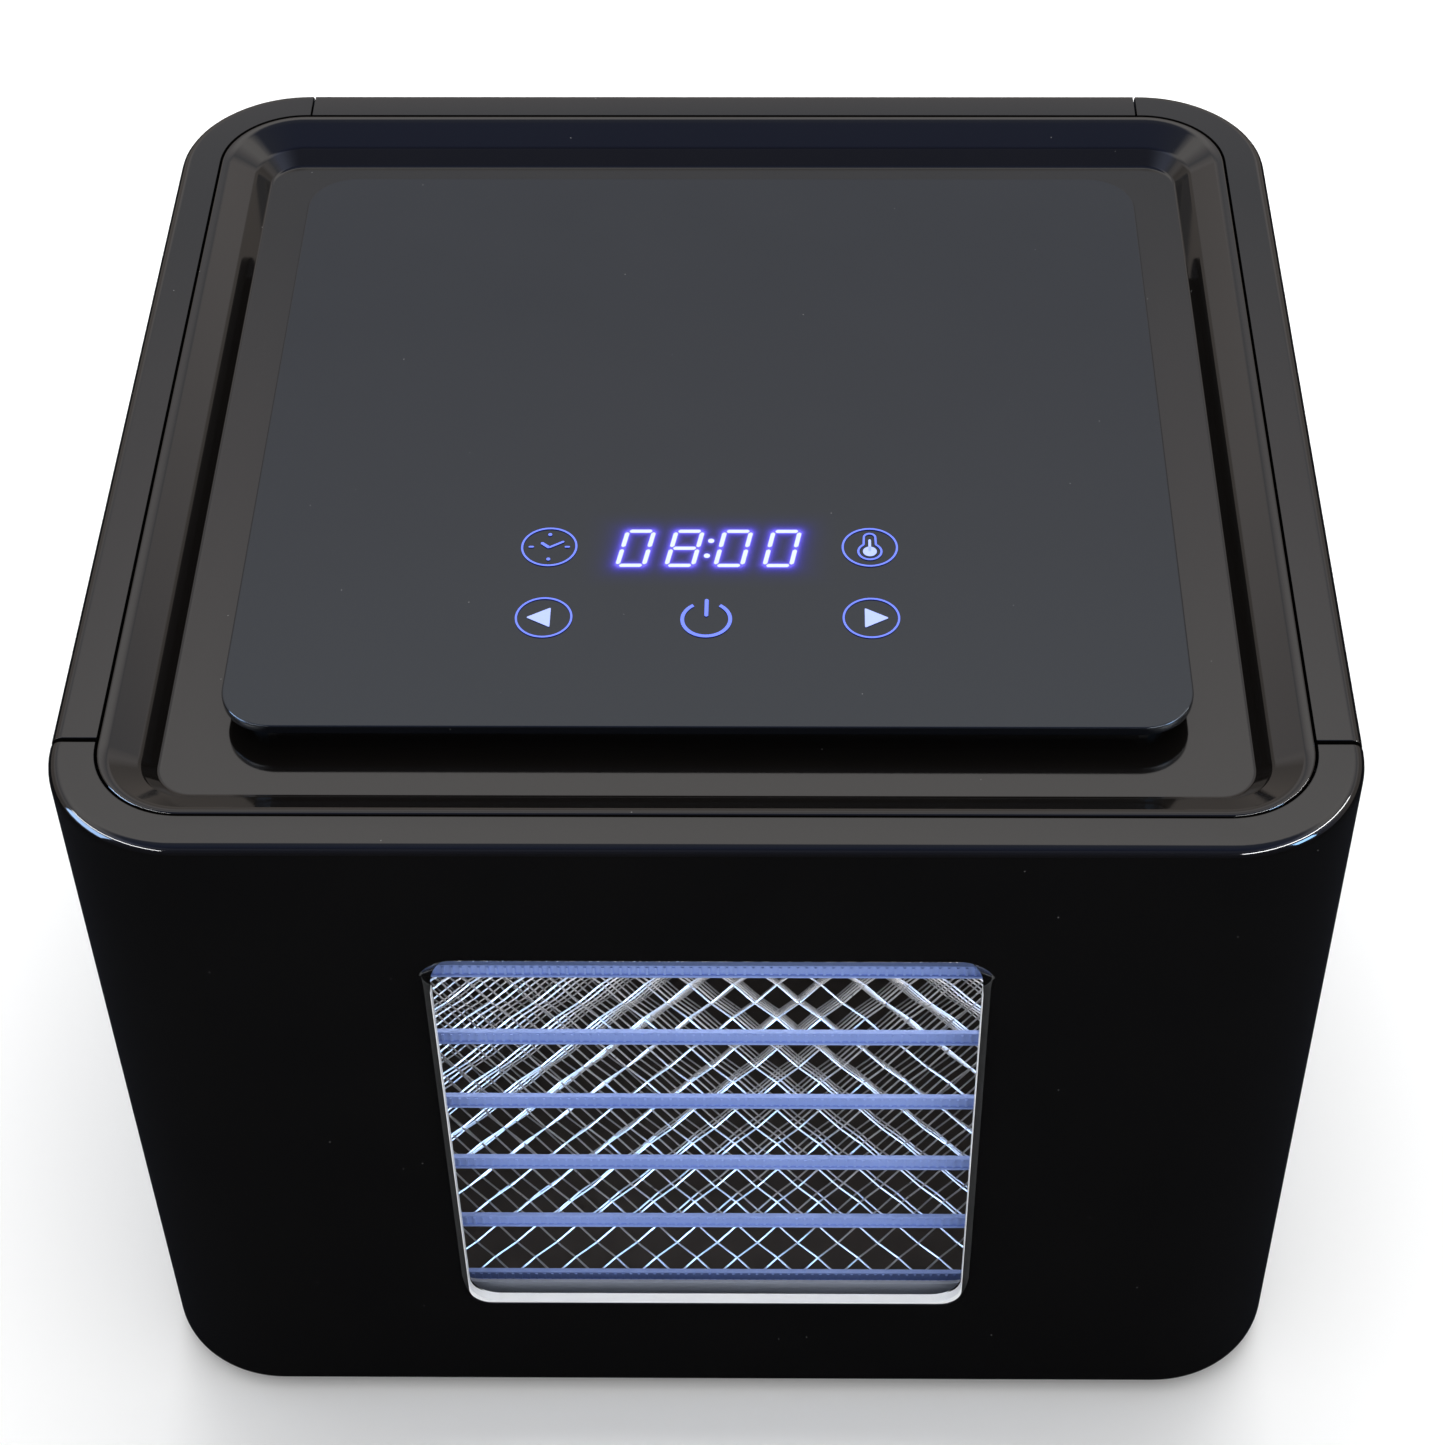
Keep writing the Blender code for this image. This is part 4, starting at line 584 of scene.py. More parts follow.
# the gaps in the wall that the hinge's eyes turn in
def hingeNotches():
    made, over = [], fittings["notchOver"]
    for end in ("lower", "upper"):
        nodes = [boxes[f"hinge_{end}_{part}"] for part in ("door_lug", "pin")]
        lowZ, highZ = min(low.z for low, high in nodes), max(high.z for low, high in nodes)
        made.append(newBox("notch", (casingLow.x - over, doorBack - fittings["notch"], lowZ - casing["gap"]),
                           (casingLow.x + casing["wall"] + over, doorBack + over, highZ + casing["gap"])))
    return made


def sideShell(name, node, side):
    shell = casingForm(name)
    cutAway(shell, casingCavity(), rimHole(), baseHole())
    ends = sorted((side * sideSeam, side * 1.0))
    combine(shell, newBox("sideRegion", (ends[0], bodyFront, -0.1), (ends[1], 1, 1)), "INTERSECT")
    easeEdges(shell, lambda a, b: level(1, bodyFront)(a, b) or level(0, side * sideSeam)(a, b),
              casing["ease"])
    weldOn(shell, *screwTabs(node, side))
    return finishPiece(shell, "casing", glossBlack, [node])


tab = {"root": 0.004, "height": 0.014, "thickness": 0.006}


# tongues behind the back wall that the screws grip
def screwTabs(node, side):
    made = []
    wallFront = casingHigh.y - casing["wall"]
    way = "right" if side > 0 else "left"
    for row in ("low", "high"):
        low, high = boxes[f"back_screw_{row}_{way}"]
        z = (low.z + high.z) / 2
        free = boxes[node][0].x if side > 0 else boxes[node][1].x
        ends = sorted((free, side * (sideSeam + tab["root"])))
        lower = newBox("tab", (ends[0], wallFront - tab["thickness"], z - tab["height"] / 2),
                       (ends[1], wallFront - casing["gap"], z + tab["height"] / 2))
        ends = sorted((side * sideSeam, side * (sideSeam + tab["root"])))
        weldOn(lower, newBox("root", (ends[0], wallFront - tab["thickness"], z - tab["height"] / 2),
                             (ends[1], wallFront + casing["skin"], z + tab["height"] / 2)))
        made.append(lower)
    return made


screwNodes = [f"back_screw_{row}_{way}" for row in ("low", "high") for way in ("left", "right")]
back = {"intakeSlots": 9, "slotPitch": 0.010, "intakeSize": (0.096, 0.004), "exhaustSlots": 10,
        "exhaustSize": (0.004, 0.014), "exhaustDown": 0.032, "seatDepth": 0.0018, "bore": 0.0018,
        "inletBorder": 0.0035, "inletCorner": 0.002, "slotRound": 0.49, "seamClear": 0.001}


def backPanel():
    panel = casingForm("backPanel")
    cutAway(panel, casingCavity(), rimHole(), baseHole())
    combine(panel, newBox("backRegion", (-rearSeam, 0, -0.1), (rearSeam, 1, 1)), "INTERSECT")
    wallFront, wallBack = casingHigh.y - casing["wall"] - casing["overrun"], casingHigh.y + casing["overrun"]
    fanZ = (boxes["fan_impeller"][0].z + boxes["fan_impeller"][1].z) / 2
    slots, bores = [], []

    def addSlots(count, size, place):
        w, h = size
        for i in range(count):
            x, z = place((i - (count - 1) / 2) * back["slotPitch"])
            slots.append(roundedBox("slot", (x - w / 2, wallFront, z - h / 2), (x + w / 2, wallBack, z + h / 2),
                                    min(w, h) * back["slotRound"], 5, axis=1))

    addSlots(back["intakeSlots"], back["intakeSize"], lambda step: (0, fanZ + step))
    addSlots(back["exhaustSlots"], back["exhaustSize"], lambda step: (step, casingHigh.z - back["exhaustDown"]))
    low, high = boxes["power_inlet"]
    border = back["inletBorder"]
    slots.append(roundedBox("inletHole", (low.x + border, wallFront, low.z + border),
                            (high.x - border, wallBack, high.z - border), back["inletCorner"], 4, axis=1))
    for node in screwNodes:
        low, high = boxes[node]
        x, z = (low.x + high.x) / 2, (low.z + high.z) / 2
        seatY = casingHigh.y - back["seatDepth"]
        slots.append(newRod("seat", (high.x - low.x) / 2 + casing["gap"], (x, seatY, z), (x, wallBack, z)))
        bores.append(newRod("bore", back["bore"], (x, wallFront, z), (x, seatY + casing["ease"], z), 20))
    cutAway(panel, joined("slots", slots), joined("bores", bores))
    easeEdges(panel, lambda a, b: level(1, casingHigh.y)(a, b) and abs(a.x) < rearSeam - back["seamClear"],
              casing["ease"])
    return finishPiece(panel, "casing", glossBlack, ["back_panel"])


doorShell()
sideShell("leftShell", "left_side_shell", -1)
sideShell("rightShell", "right_side_shell", 1)
backPanel()
print("casing done")

dish = {"corner": 0.0229, "steps": 18, "wall": 0.0022, "skirt": 0.005,
        "rings": ((0.0018, 0.0), (0.0080, -0.0045), (0.0040, -0.0042)), "footRound": 0.0006,
        "kneeRound": 0.0006, "lipRound": 0.0012, "outerRound": 0.0004}


def dishTop():
    low, high = boxes["top_cover"]
    cover = roundedBox("dishTop", (low.x, low.y, high.z - dish["skirt"]), high, dish["corner"], dish["steps"])
    openMesh(cover)
    pickFaces(lambda middle, normal: normal.z < -0.9)
    bpy.ops.mesh.delete(type="FACE")
    pickFaces(lambda middle, normal: normal.z > 0.9)
    heights = []
    for width, rise in dish["rings"]:
        bpy.ops.mesh.inset(thickness=width, depth=rise, use_even_offset=True)
        heights.append((heights[-1] if heights else high.z) + rise)
    pickEdges(level(2, heights[2]))
    bevel(dish["footRound"], 4)
    pickEdges(level(2, heights[1]))
    bevel(dish["kneeRound"], 4)
    middle, outline = dish["rings"][0][0] / 2, 1e-5
    pickEdges(lambda a, b: level(2, high.z)(a, b) and insideLip(a, high, middle)
              and insideLip(b, high, middle))
    bevel(dish["lipRound"], 4)
    pickEdges(lambda a, b: level(2, high.z)(a, b) and not insideLip(a, high, outline)
              and not insideLip(b, high, outline))
    bevel(dish["outerRound"], 2)
    bpy.ops.mesh.select_all(action="SELECT")
    bpy.ops.mesh.normals_make_consistent(inside=False)
    closeMesh()
    skin = cover.modifiers.new("skin", "SOLIDIFY")
    skin.thickness = dish["wall"]
    skin.offset = -1
    makeActive(cover)
    bpy.ops.object.modifier_apply(modifier=skin.name)
    return finishPiece(cover, "casing", dishBlack, ["top_cover"], angle=50)


# true for a point further than the margin inside the dish's outer outline
def insideLip(point, high, margin):
    radius = dish["corner"]
    dx = max(abs(point.x) - (high.x - radius), 0)
    dy = max(abs(point.y) - (high.y - radius), 0)
    return (dx * dx + dy * dy) ** 0.5 < radius - margin


dishTop()

panel = {"corner": 0.0135, "steps": 14, "edge": 0.0005, "sink": 0.0003}


def controlGlass():
    low, high = boxes["control_glass"]
    glass = roundedBox("controlGlass", low, (high.x, high.y, high.z - panel["sink"]), panel["corner"],
                       panel["steps"], edge=panel["edge"], edgeSteps=3)
    return finishPiece(glass, "casing", panelGlass, ["control_glass"])


controlGlass()
print("top done")

display = {"digits": "08:00", "height": 0.0142, "width": 0.0080, "stroke": 0.00115, "pitch": 0.0127,
           "slant": radians(10), "thickness": 0.00008, "y": -0.0490, "x": -0.0005, "colonRadius": 0.00080,
           "colonRise": 0.2, "shorten": 0.42, "pointed": 0.36, "sunk": 0.00004}
markTop = boxes["control_glass"][1].z - display["sunk"]
markLow = markTop - display["thickness"]

segments = {"0": "abcdef", "8": "abcdefg"}


# a flat bar between two points in plan, with pointed ends
def segmentBar(name, start, end, stroke):
    start, end = Vector((*start, 0)), Vector((*end, 0))
    run = end - start
    turn = atan2(run.y, run.x)
    bar = newBox(name, (-run.length / 2, -stroke / 2, -0.5), (run.length / 2, stroke / 2, 0.5))
    bevelEdges(bar, along(2), stroke * display["pointed"], 2, 0.25)
    middle = (start + end) / 2
    thick = Matrix.Diagonal((1, 1, markTop - markLow, 1))
    place = Matrix.Translation((middle.x, middle.y, (markTop + markLow) / 2)) @ Matrix.Rotation(turn, 4, "Z")
    bar.data.transform(place @ thick)
    return bar


def digitEnds(width, height):
    x, y = width / 2, height / 2
    return {"a": ((-x, y), (x, y)), "b": ((x, y), (x, 0)), "c": ((x, 0), (x, -y)), "d": ((-x, -y), (x, -y)),
            "e": ((-x, -y), (-x, 0)), "f": ((-x, 0), (-x, y)), "g": ((-x, 0), (x, 0))}


def displayDigits():
    bars, centres = [], []
    stroke, slant = display["stroke"], tan(display["slant"])
    ends = digitEnds(display["width"] - stroke, display["height"] - stroke)
    shear = Matrix.Identity(4)
    shear[0][1] = slant
    for digit, step in zip(display["digits"], (-1.5, -0.5, 0, 0.5, 1.5)):
        middleX = display["x"] + step * display["pitch"]
        if digit == ":":
            for y in (-display["colonRise"] * display["height"], display["colonRise"] * display["height"]):
                at = (middleX + slant * y, display["y"] + y)
                bars.append(newRod("dot", display["colonRadius"], (*at, markLow), (*at, markTop), 24))
                centres.append((at, at))
            continue
        for key in segments[digit]:
            start, end = Vector(ends[key][0]), Vector(ends[key][1])
            short = (end - start).normalized() * stroke * display["shorten"]
            start, end = start + short, end - short
            bar = segmentBar("bar", start, end, stroke)
            bar.data.transform(Matrix.Translation((middleX, display["y"], 0)) @ shear)
            bars.append(bar)
            centres.append([(middleX + point.x + slant * point.y, display["y"] + point.y)
                            for point in (start, end)])
    finishPiece(joined("displayDigits", bars), "casing", ledWhite, angle=0)
    return centres


litLines = displayDigits()


def distanceTo(point, line):
    a, b = Vector(line[0]), Vector(line[1])
    run = b - a
    t = 0 if run.length_squared == 0 else max(0, min(1, (point - a).dot(run) / run.length_squared))
    return (point - a - run * t).length


glow = {"width": 0.068, "depth": 0.030, "columns": 150, "rows": 66, "near": 0.0009, "far": 0.0034,
        "nearShare": 0.80, "farShare": 0.22, "fadeX": 0.008, "fadeY": 0.006, "below": 0.00001}


# a thin film over the glass that carries the digits' blue glow, strongest beside each bar
def displayGlow():
    deselectAll()
    bpy.ops.mesh.primitive_grid_add(x_subdivisions=glow["columns"], y_subdivisions=glow["rows"], size=1,
                                    location=(display["x"], display["y"], markLow - glow["below"]))
    film = bpy.context.object
    film.name = "displayGlow"
    film.scale = (glow["width"], glow["depth"], 1)
    bakePlace(film)
    shade = film.data.attributes.new("glow", "FLOAT", "POINT")
    for i, vert in enumerate(film.data.vertices):
        point = vert.co.xy
        reach = max(0, min(distanceTo(point, line) for line in litLines) - display["stroke"] / 2)
        edge = min(1, (glow["width"] / 2 - abs(point.x - display["x"])) / glow["fadeX"],
                   (glow["depth"] / 2 - abs(point.y - display["y"])) / glow["fadeY"])
        value = glow["nearShare"] * exp(-reach / glow["near"]) + glow["farShare"] * exp(-reach / glow["far"])
        shade.data[i].value = max(0, min(1, value * max(edge, 0)))
    material, tree, shader = newMaterial("blueGlow")
    reader = addNode(tree, "ShaderNodeAttribute", (-600, 0), attribute_name="glow")
    ramp = mixColours(tree, reader.outputs["Fac"], (0.03, 0.02, 0.45), (0.14, 0.10, 1.0), (-350, 100))
    tree.links.new(ramp.outputs["Result"], shader.inputs["Emission Color"])
    tree.links.new(reader.outputs["Fac"], shader.inputs["Alpha"])
    shader.inputs["Emission Strength"].default_value = 1.0
    shader.inputs["Base Color"].default_value = (0.01, 0.01, 0.03, 1)
    return finishPiece(film, "casing", material, angle=0)


displayGlow()


# a flat band along an arc, drawn as a disc's rim with its middle taken out
def flatRing(name, centre, radius, line, start=0.0, end=2 * pi, steps=64):
    deselectAll()
    bpy.ops.mesh.primitive_circle_add(vertices=steps, radius=radius + line / 2, fill_type="NGON",
                                      location=(*centre, markTop))
    band = bpy.context.object
    band.name = name
    bakePlace(band)
    openMesh(band)
    bpy.ops.mesh.select_all(action="SELECT")
    bpy.ops.mesh.inset(thickness=line)
    bpy.ops.mesh.delete(type="FACE")
    if end - start < 2 * pi - 1e-6:
        def outside(middle, normal):
            angle = (atan2(middle.y - centre[1], middle.x - centre[0]) - start) % (2 * pi)
            return angle > end - start
        pickFaces(outside)
        bpy.ops.mesh.delete(type="FACE")
    closeMesh()
    skin = band.modifiers.new("skin", "SOLIDIFY")
    skin.thickness = markTop - markLow
    skin.offset = -1
    bpy.ops.object.modifier_apply(modifier=skin.name)
    return band


def flatDisc(name, centre, radius, steps=24):
    return newRod(name, radius, (*centre, markLow), (*centre, markTop), steps)


marks = {"ring": 0.00706, "line": 0.00052, "left": -0.0421, "right": 0.0413, "upperY": -0.0485,
         "lowerY": -0.0749, "open": (radians(125), radians(415))}
clock = {"hour": 0.0047, "dot": 0.00052, "tick": (0.0040, 0.0054), "tickLine": 0.00055,
         "hands": (((-0.0022, 0.0016), (0.0001, -0.0004), 0.00085),
                   ((-0.0001, -0.0003), (0.0038, 0.0021), 0.00060))}
thermometer = {"bulbDown": 0.0016, "tipUp": 0.0040, "bulb": 0.0030, "line": 0.00055, "capDown": 0.0003,
               "cap": 0.0015, "stemDown": 0.0002, "stemSpread": 0.0001, "stemFoot": 0.0024,
               "mercury": 0.0018, "column": 0.00070, "columnDown": 0.0010}
arrow = {"size": 0.0041, "shift": 0.0004, "corner": 0.10}
power = {"x": -0.0007, "down": 0.0006, "radius": 0.0061, "line": 0.00095, "steps": 96,
         "bar": (0.0004, 0.0068), "barLine": 0.0010}


# a rounded arrow head pointing along way, +1 or -1 in x
def arrowHead(name, centre, way):
    deselectAll()
    bpy.ops.mesh.primitive_cylinder_add(vertices=3, radius=arrow["size"], depth=markTop - markLow,
                                        location=(*centre, (markTop + markLow) / 2),
                                        rotation=(0, 0, -way * pi / 2))
    head = bpy.context.object
    head.name = name
    bakePlace(head)
    bevelEdges(head, along(2), arrow["size"] * arrow["corner"], 3)
    return head


# four hour marks and two hands
def clockMark(x, y):
    made = [flatDisc("hour", (x, y + side * clock["hour"]), clock["dot"]) for side in (1, -1)]
    inner, outer = clock["tick"]
    for side in (-1, 1):
        made.append(segmentBar("hour", (x + side * inner, y), (x + side * outer, y), clock["tickLine"]))
    for start, end, line in clock["hands"]:
        made.append(segmentBar("hand", (x + start[0], y + start[1]), (x + end[0], y + end[1]), line))
    return made


# an outline round a bulb and a stem, and the paler filling inside it
def thermometerMark(x, y):
    bulb, tip = y - thermometer["bulbDown"], y + thermometer["tipUp"]
    cap, line = thermometer["cap"], thermometer["line"]
    outline = [flatRing("bulb", (x, bulb), thermometer["bulb"], line, *marks["open"]),
               flatRing("cap", (x, tip - thermometer["capDown"]), cap, line, 0, pi)]
    for side in (-1, 1):
        top = (x + side * cap, tip - thermometer["stemDown"])
        foot = (x + side * (cap + thermometer["stemSpread"]), bulb + thermometer["stemFoot"])
        outline.append(segmentBar("stem", top, foot, line))
    filling = [flatDisc("mercury", (x, bulb), thermometer["mercury"], 28),
               segmentBar("mercury", (x, bulb), (x, tip - thermometer["columnDown"]), thermometer["column"])]
    return outline, filling


def powerMark(x, y):
    low, high = power["bar"]
    return [flatRing("power", (x, y - power["down"]), power["radius"], power["line"], *marks["open"],
                     power["steps"]),
            segmentBar("power", (x, y + low), (x, y + high), power["barLine"])]


def allMarks():
    left, right, upper, lower = marks["left"], marks["right"], marks["upperY"], marks["lowerY"]
    corners = ((left, upper), (right, upper), (left, lower), (right, lower))
    blue = [flatRing("ring", centre, marks["ring"], marks["line"]) for centre in corners]
    outline, pale = thermometerMark(right, upper)
    blue += clockMark(left, upper) + outline + powerMark(power["x"], lower)
    for side, x in ((-1, left), (1, right)):
        pale.append(arrowHead("arrow", (x + side * arrow["shift"], lower), side))
    finishPiece(joined("touchMarks", blue), "casing", markBlue, angle=0)
    finishPiece(joined("touchArrows", pale), "casing", markPale, angle=0)


allMarks()
print("display done")

tray = {"cell": 0.0115, "wire": 0.00060, "weave": 0.00040, "rim": 0.0014, "wall": 0.0007, "flange": 0.0010,
        "corner": 0.003, "ease": 0.0004, "bead": 0.0008, "beadProud": 0.0007, "beadRound": 0.00024,
        "ribs": 110, "ribWidth": 0.0007, "ribProud": 0.0003}


# woven diamonds: a grid with its cells poked and its square edges taken away, thickened as wire
def diamondMesh(low, high):
    spanX, spanY = high.x - low.x - tray["rim"], high.y - low.y - tray["rim"]
    nx, ny = round(spanX / tray["cell"]), round(spanY / tray["cell"])
    deselectAll()
    bpy.ops.mesh.primitive_grid_add(x_subdivisions=nx, y_subdivisions=ny, size=1,
                                    location=(0, (low.y + high.y) / 2, (low.z + high.z) / 2))
    sheet = bpy.context.object
    sheet.scale = (spanX, spanY, 1)
    bakePlace(sheet)
    openMesh(sheet)
    bpy.ops.mesh.select_all(action="SELECT")
    bpy.ops.mesh.poke()
    edgeX = spanX / 2 - 1e-4
    edgeY = (low.y + tray["rim"] / 2 + 1e-4, high.y - tray["rim"] / 2 - 1e-4)

    def onEdge(point):
        return abs(point.x) > edgeX or not edgeY[0] < point.y < edgeY[1]

    pickEdges(lambda a, b: (near(a.x, b.x) or near(a.y, b.y)) and not (onEdge(a) and onEdge(b)))
    bpy.ops.mesh.dissolve_edges(use_verts=False)
    closeMesh()
    half = spanX / nx / 2
    for vert in sheet.data.vertices:
        vert.co.z += tray["weave"] * (1 if round((vert.co.x - low.x) / half) % 2 else -1)
    wires = sheet.modifiers.new("wires", "WIREFRAME")
    wires.thickness = tray["wire"]
    wires.use_even_offset = True
    wires.use_boundary = True
    bpy.ops.object.modifier_apply(modifier=wires.name)
    return sheet


# a folded channel round the mesh, open towards it, with fine ribs and a bead along its front
def trayRim(low, high):
    wall, flange, wide = tray["wall"], tray["flange"], tray["rim"]
    rim = roundedBox("rim", low, high, tray["corner"], 5, edge=tray["ease"], edgeSteps=2)
    cutAway(rim, roundedBox("hole", (low.x + wide, low.y + wide, low.z - flange),
                            (high.x - wide, high.y - wide, high.z + flange), tray["corner"] / 2, 4))
    grooves = joined("grooves", [
        newBox("groove", (low.x + wall, low.y + 4 * wide, low.z + flange),
               (high.x - wall, high.y - 4 * wide, high.z - flange)),
        newBox("groove", (low.x + 4 * wide, low.y + wall, low.z + flange),
               (high.x - 4 * wide, high.y - wall, high.z - flange))])
    cutAway(rim, grooves)
    left, right = low.x + tray["corner"] + wide, high.x - tray["corner"] - wide
    bead = roundedBox("bead", (left, low.y - tray["beadProud"], low.z),
                      (right, low.y + wall / 2, low.z + tray["bead"]), tray["beadRound"], 2, axis=0)
    pitch = (right - left) / tray["ribs"]
    rib = newBox("ribs", (left, low.y - tray["ribProud"], low.z + tray["bead"]),
                 (left + tray["ribWidth"], low.y + wall / 2, high.z - tray["ease"]))
    row = rib.modifiers.new("row", "ARRAY")
    row.count = tray["ribs"]
    row.use_relative_offset = False
    row.use_constant_offset = True
    row.constant_offset_displace = (pitch, 0, 0)
    makeActive(rib)
    bpy.ops.object.modifier_apply(modifier=row.name)
    weldOn(rim, bead)
    return joined("trayRim", [rim, rib])


def allTrays():
    nodes = [f"tray_{i}" for i in range(1, 7)]
    low, high = boxes[nodes[0]]
    wires = diamondMesh(low, high)
    rim = trayRim(low, high)
    smooth(rim, 35)
    smooth(wires, 50, False)
    for index, node in enumerate(nodes):
        drop = (0, 0, boxes[node][0].z - low.z)
        grid = duplicate(wires, f"trayMesh{index + 1}", drop)
        finishPiece(grid, node, wireSteel, angle=0)
        border = duplicate(rim, f"trayRim{index + 1}", drop)
        finishPiece(border, node, rimSteel, [node], angle=0)
    bpy.data.objects.remove(wires)
    bpy.data.objects.remove(rim)


allTrays()


pan = {"corner": 0.006, "wall": 0.0012, "ease": 0.0004, "footRound": 0.0010, "over": 0.002}


def dripPan():
    low, high = boxes["drip_tray"]
    wall = pan["wall"]
    piece = roundedBox("dripPan", low, high, pan["corner"], 6, edge=pan["ease"], edgeSteps=2)
    cutAway(piece, roundedBox("hollow", (low.x + wall, low.y + wall, low.z + wall),
                              (high.x - wall, high.y - wall, high.z + pan["over"]), pan["corner"] - wall, 6,
                              lowEdge=pan["footRound"]))
    return finishPiece(piece, "drip_tray", panSteel, ["drip_tray"])


dripPan()
print("trays done")

paneTrim = {"side": 0.0690, "wall": 0.0005, "sideWall": 0.00018, "front": 0.0002, "corner": 0.0062,
            "clear": 0.0001, "footRise": 0.0010, "open": 0.012, "inner": 0.0085}


# a pale strip along the foot of the opening that turns up both its sides
def windowTrim():
    x, z = paneTrim["side"], window["height"] / 2 - window["endReveal"]
    wall, corner = paneTrim["wall"], paneTrim["corner"]
    startY, endY = casingLow.y + paneTrim["front"], boxes["door_window"][0].y - paneTrim["clear"]
    strip = roundedBox("windowTrim", (-x, startY, windowMiddle.z - z), (x, endY, windowMiddle.z + z), corner,
                       8, axis=1)
    side = paneTrim["sideWall"]
    cutAway(strip, roundedBox("hole", (-x + side, startY - wall, windowMiddle.z - z + wall),
                              (x - side, endY + wall, windowMiddle.z + z * 2), paneTrim["inner"], 8, axis=1))
    cutAway(strip, newBox("above", (-x * 2, startY - wall, windowMiddle.z + z - paneTrim["open"]),
                          (x * 2, endY + wall, windowMiddle.z + z * 2)))
    foot = windowMiddle.z - z
    # the upper face rises towards the pane, all of it along the foot and less up the sides
    for vert in strip.data.vertices:
        if near(vert.co.y, endY) and vert.co.z > foot + wall * 0.9 - abs(vert.co.x) * 1e-3:
            fade = 1 - min(1, (vert.co.z - foot - wall) / corner)
            vert.co.z += (paneTrim["footRise"] - wall) * fade
    return finishPiece(strip, "door", whiteTrim)


windowTrim()


liner = {"corner": 0.0065, "footRaise": 0.0018, "gap": 0.0003, "ease": 0.0004}


# the ring that clamps the pane, with a raised lip along its foot
def paneLiner():
    low, high = boxes["door_liner"]
    pane = boxes["door_window"]
    gap = liner["gap"]
    ring = roundedBox("paneLiner", low, high, liner["corner"], 8, axis=1, edge=liner["ease"], edgeSteps=2)
    x, z = window["width"] / 2, window["height"] / 2
    hole = roundedBox("hole", (-x, low.y - gap, windowMiddle.z - z + liner["footRaise"]),
                      (x, high.y + gap, windowMiddle.z + z), liner["corner"], 8, axis=1)
    rebate = roundedBox("rebate", (pane[0].x - gap, low.y - gap, pane[0].z - gap),
                        (pane[1].x + gap, pane[1].y + gap, pane[1].z + gap), liner["corner"], 8, axis=1)
    cutAway(ring, hole, rebate)
    return finishPiece(ring, "door", linerSteel, ["door_liner"])


paneLiner()
print("window done")

rubberFoot = {"taper": 0.88, "edge": 0.0010, "recess": 0.45, "depth": 0.002}


def rubberFeet():
    for node in ("foot_front_left", "foot_front_right", "foot_rear_left", "foot_rear_right"):
        low, high = boxes[node]
        x, y = (low.x + high.x) / 2, (low.y + high.y) / 2
        radius, depth = (high.x - low.x) / 2, rubberFoot["depth"]
        foot = newRod("foot", radius * rubberFoot["taper"], (x, y, low.z), (x, y, high.z), 40, radius)
        bevelEdges(foot, level(2, low.z), rubberFoot["edge"], 4)
        cutAway(foot, newRod("recess", radius * rubberFoot["recess"], (x, y, low.z - depth),
                             (x, y, low.z + depth), 32))
        foot.name = node.replace("foot_", "rubberFoot_")
        finishPiece(foot, "casing", rubber, [node])


screwHead = {"height": 0.0012, "edge": 0.0005, "shank": 0.0015, "slot": (0.0019, 0.0004), "slotDepth": 0.0009}


def backScrews():
    for node in screwNodes:
        low, high = boxes[node]
        x, z = (low.x + high.x) / 2, (low.z + high.z) / 2
        radius, headFront = (high.x - low.x) / 2, high.y - screwHead["height"]
        screw = newRod("screw", radius, (x, headFront, z), (x, high.y, z), 36)
        bevelEdges(screw, level(1, high.y), screwHead["edge"], 3)
        weldOn(screw, newRod("shank", screwHead["shank"], (x, low.y, z),
                             (x, high.y - screwHead["height"] / 2, z), 20))
        for w, h in (screwHead["slot"], reversed(screwHead["slot"])):
            cutAway(screw, newBox("slot", (x - w, high.y - screwHead["slotDepth"], z - h),
                                  (x + w, high.y + 0.001, z + h)))
        screw.name = node.replace("back_screw_", "crossScrew_")
        finishPiece(screw, "casing", wireSteel, [node])


inlet = {"flange": 0.004, "corner": 0.0018, "edge": 0.0003, "wall": 0.0028, "depth": 0.015, "chamfer": 0.0035,
         "footRound": 0.0010, "flangeBack": (0.0052, 0.0025), "flangeCorner": 0.002,
         "blades": ((-0.007, 0.0015), (0.0, 0.0045), (0.007, 0.0015)), "bladeSize": (0.001, 0.002),
         "bladeBack": (0.0152, 0.003), "bladeEdge": 0.0004}


def mainsInlet():
    low, high = boxes["power_inlet"]
    flange, wall = inlet["flange"], inlet["wall"]
    left, right, bottom, top = low.x + flange, high.x - flange, low.z + flange, high.z - flange
    x, z = (left + right) / 2, (bottom + top) / 2
    body = roundedBox("mainsInlet", (left, low.y, bottom), (right, high.y, top), inlet["corner"], 4, axis=1,
                      edge=inlet["edge"], edgeSteps=2)
    recess = newBox("recess", (left + wall, high.y - inlet["depth"], bottom + wall),
                    (right - wall, high.y + 0.002, top - wall))
    bevelEdges(recess, lambda a, b: along(1)(a, b) and a.z > z, inlet["chamfer"], 1)
    bevelEdges(recess, lambda a, b: along(1)(a, b) and a.z < z, inlet["footRound"], 3)
    cutAway(body, recess)
    front, back = (high.y - depth for depth in inlet["flangeBack"])
    weldOn(body, roundedBox("flange", (low.x, front, low.z), (high.x, back, high.z), inlet["flangeCorner"], 4,
                            axis=1))
    finishPiece(body, "casing", satinBlack, ["power_inlet"])
    front, back = (high.y - depth for depth in inlet["bladeBack"])
    w, h = inlet["bladeSize"]
    blades = [roundedBox("blade", (x + dx - w, front, z + dz - h), (x + dx + w, back, z + dz + h),
                         inlet["bladeEdge"], 2, axis=1, edge=inlet["bladeEdge"], edgeSteps=2)
              for dx, dz in inlet["blades"]]
    finishPiece(joined("inletBlades", blades), "casing", wireSteel)


rubberFeet()
backScrews()
mainsInlet()
print("small parts done")

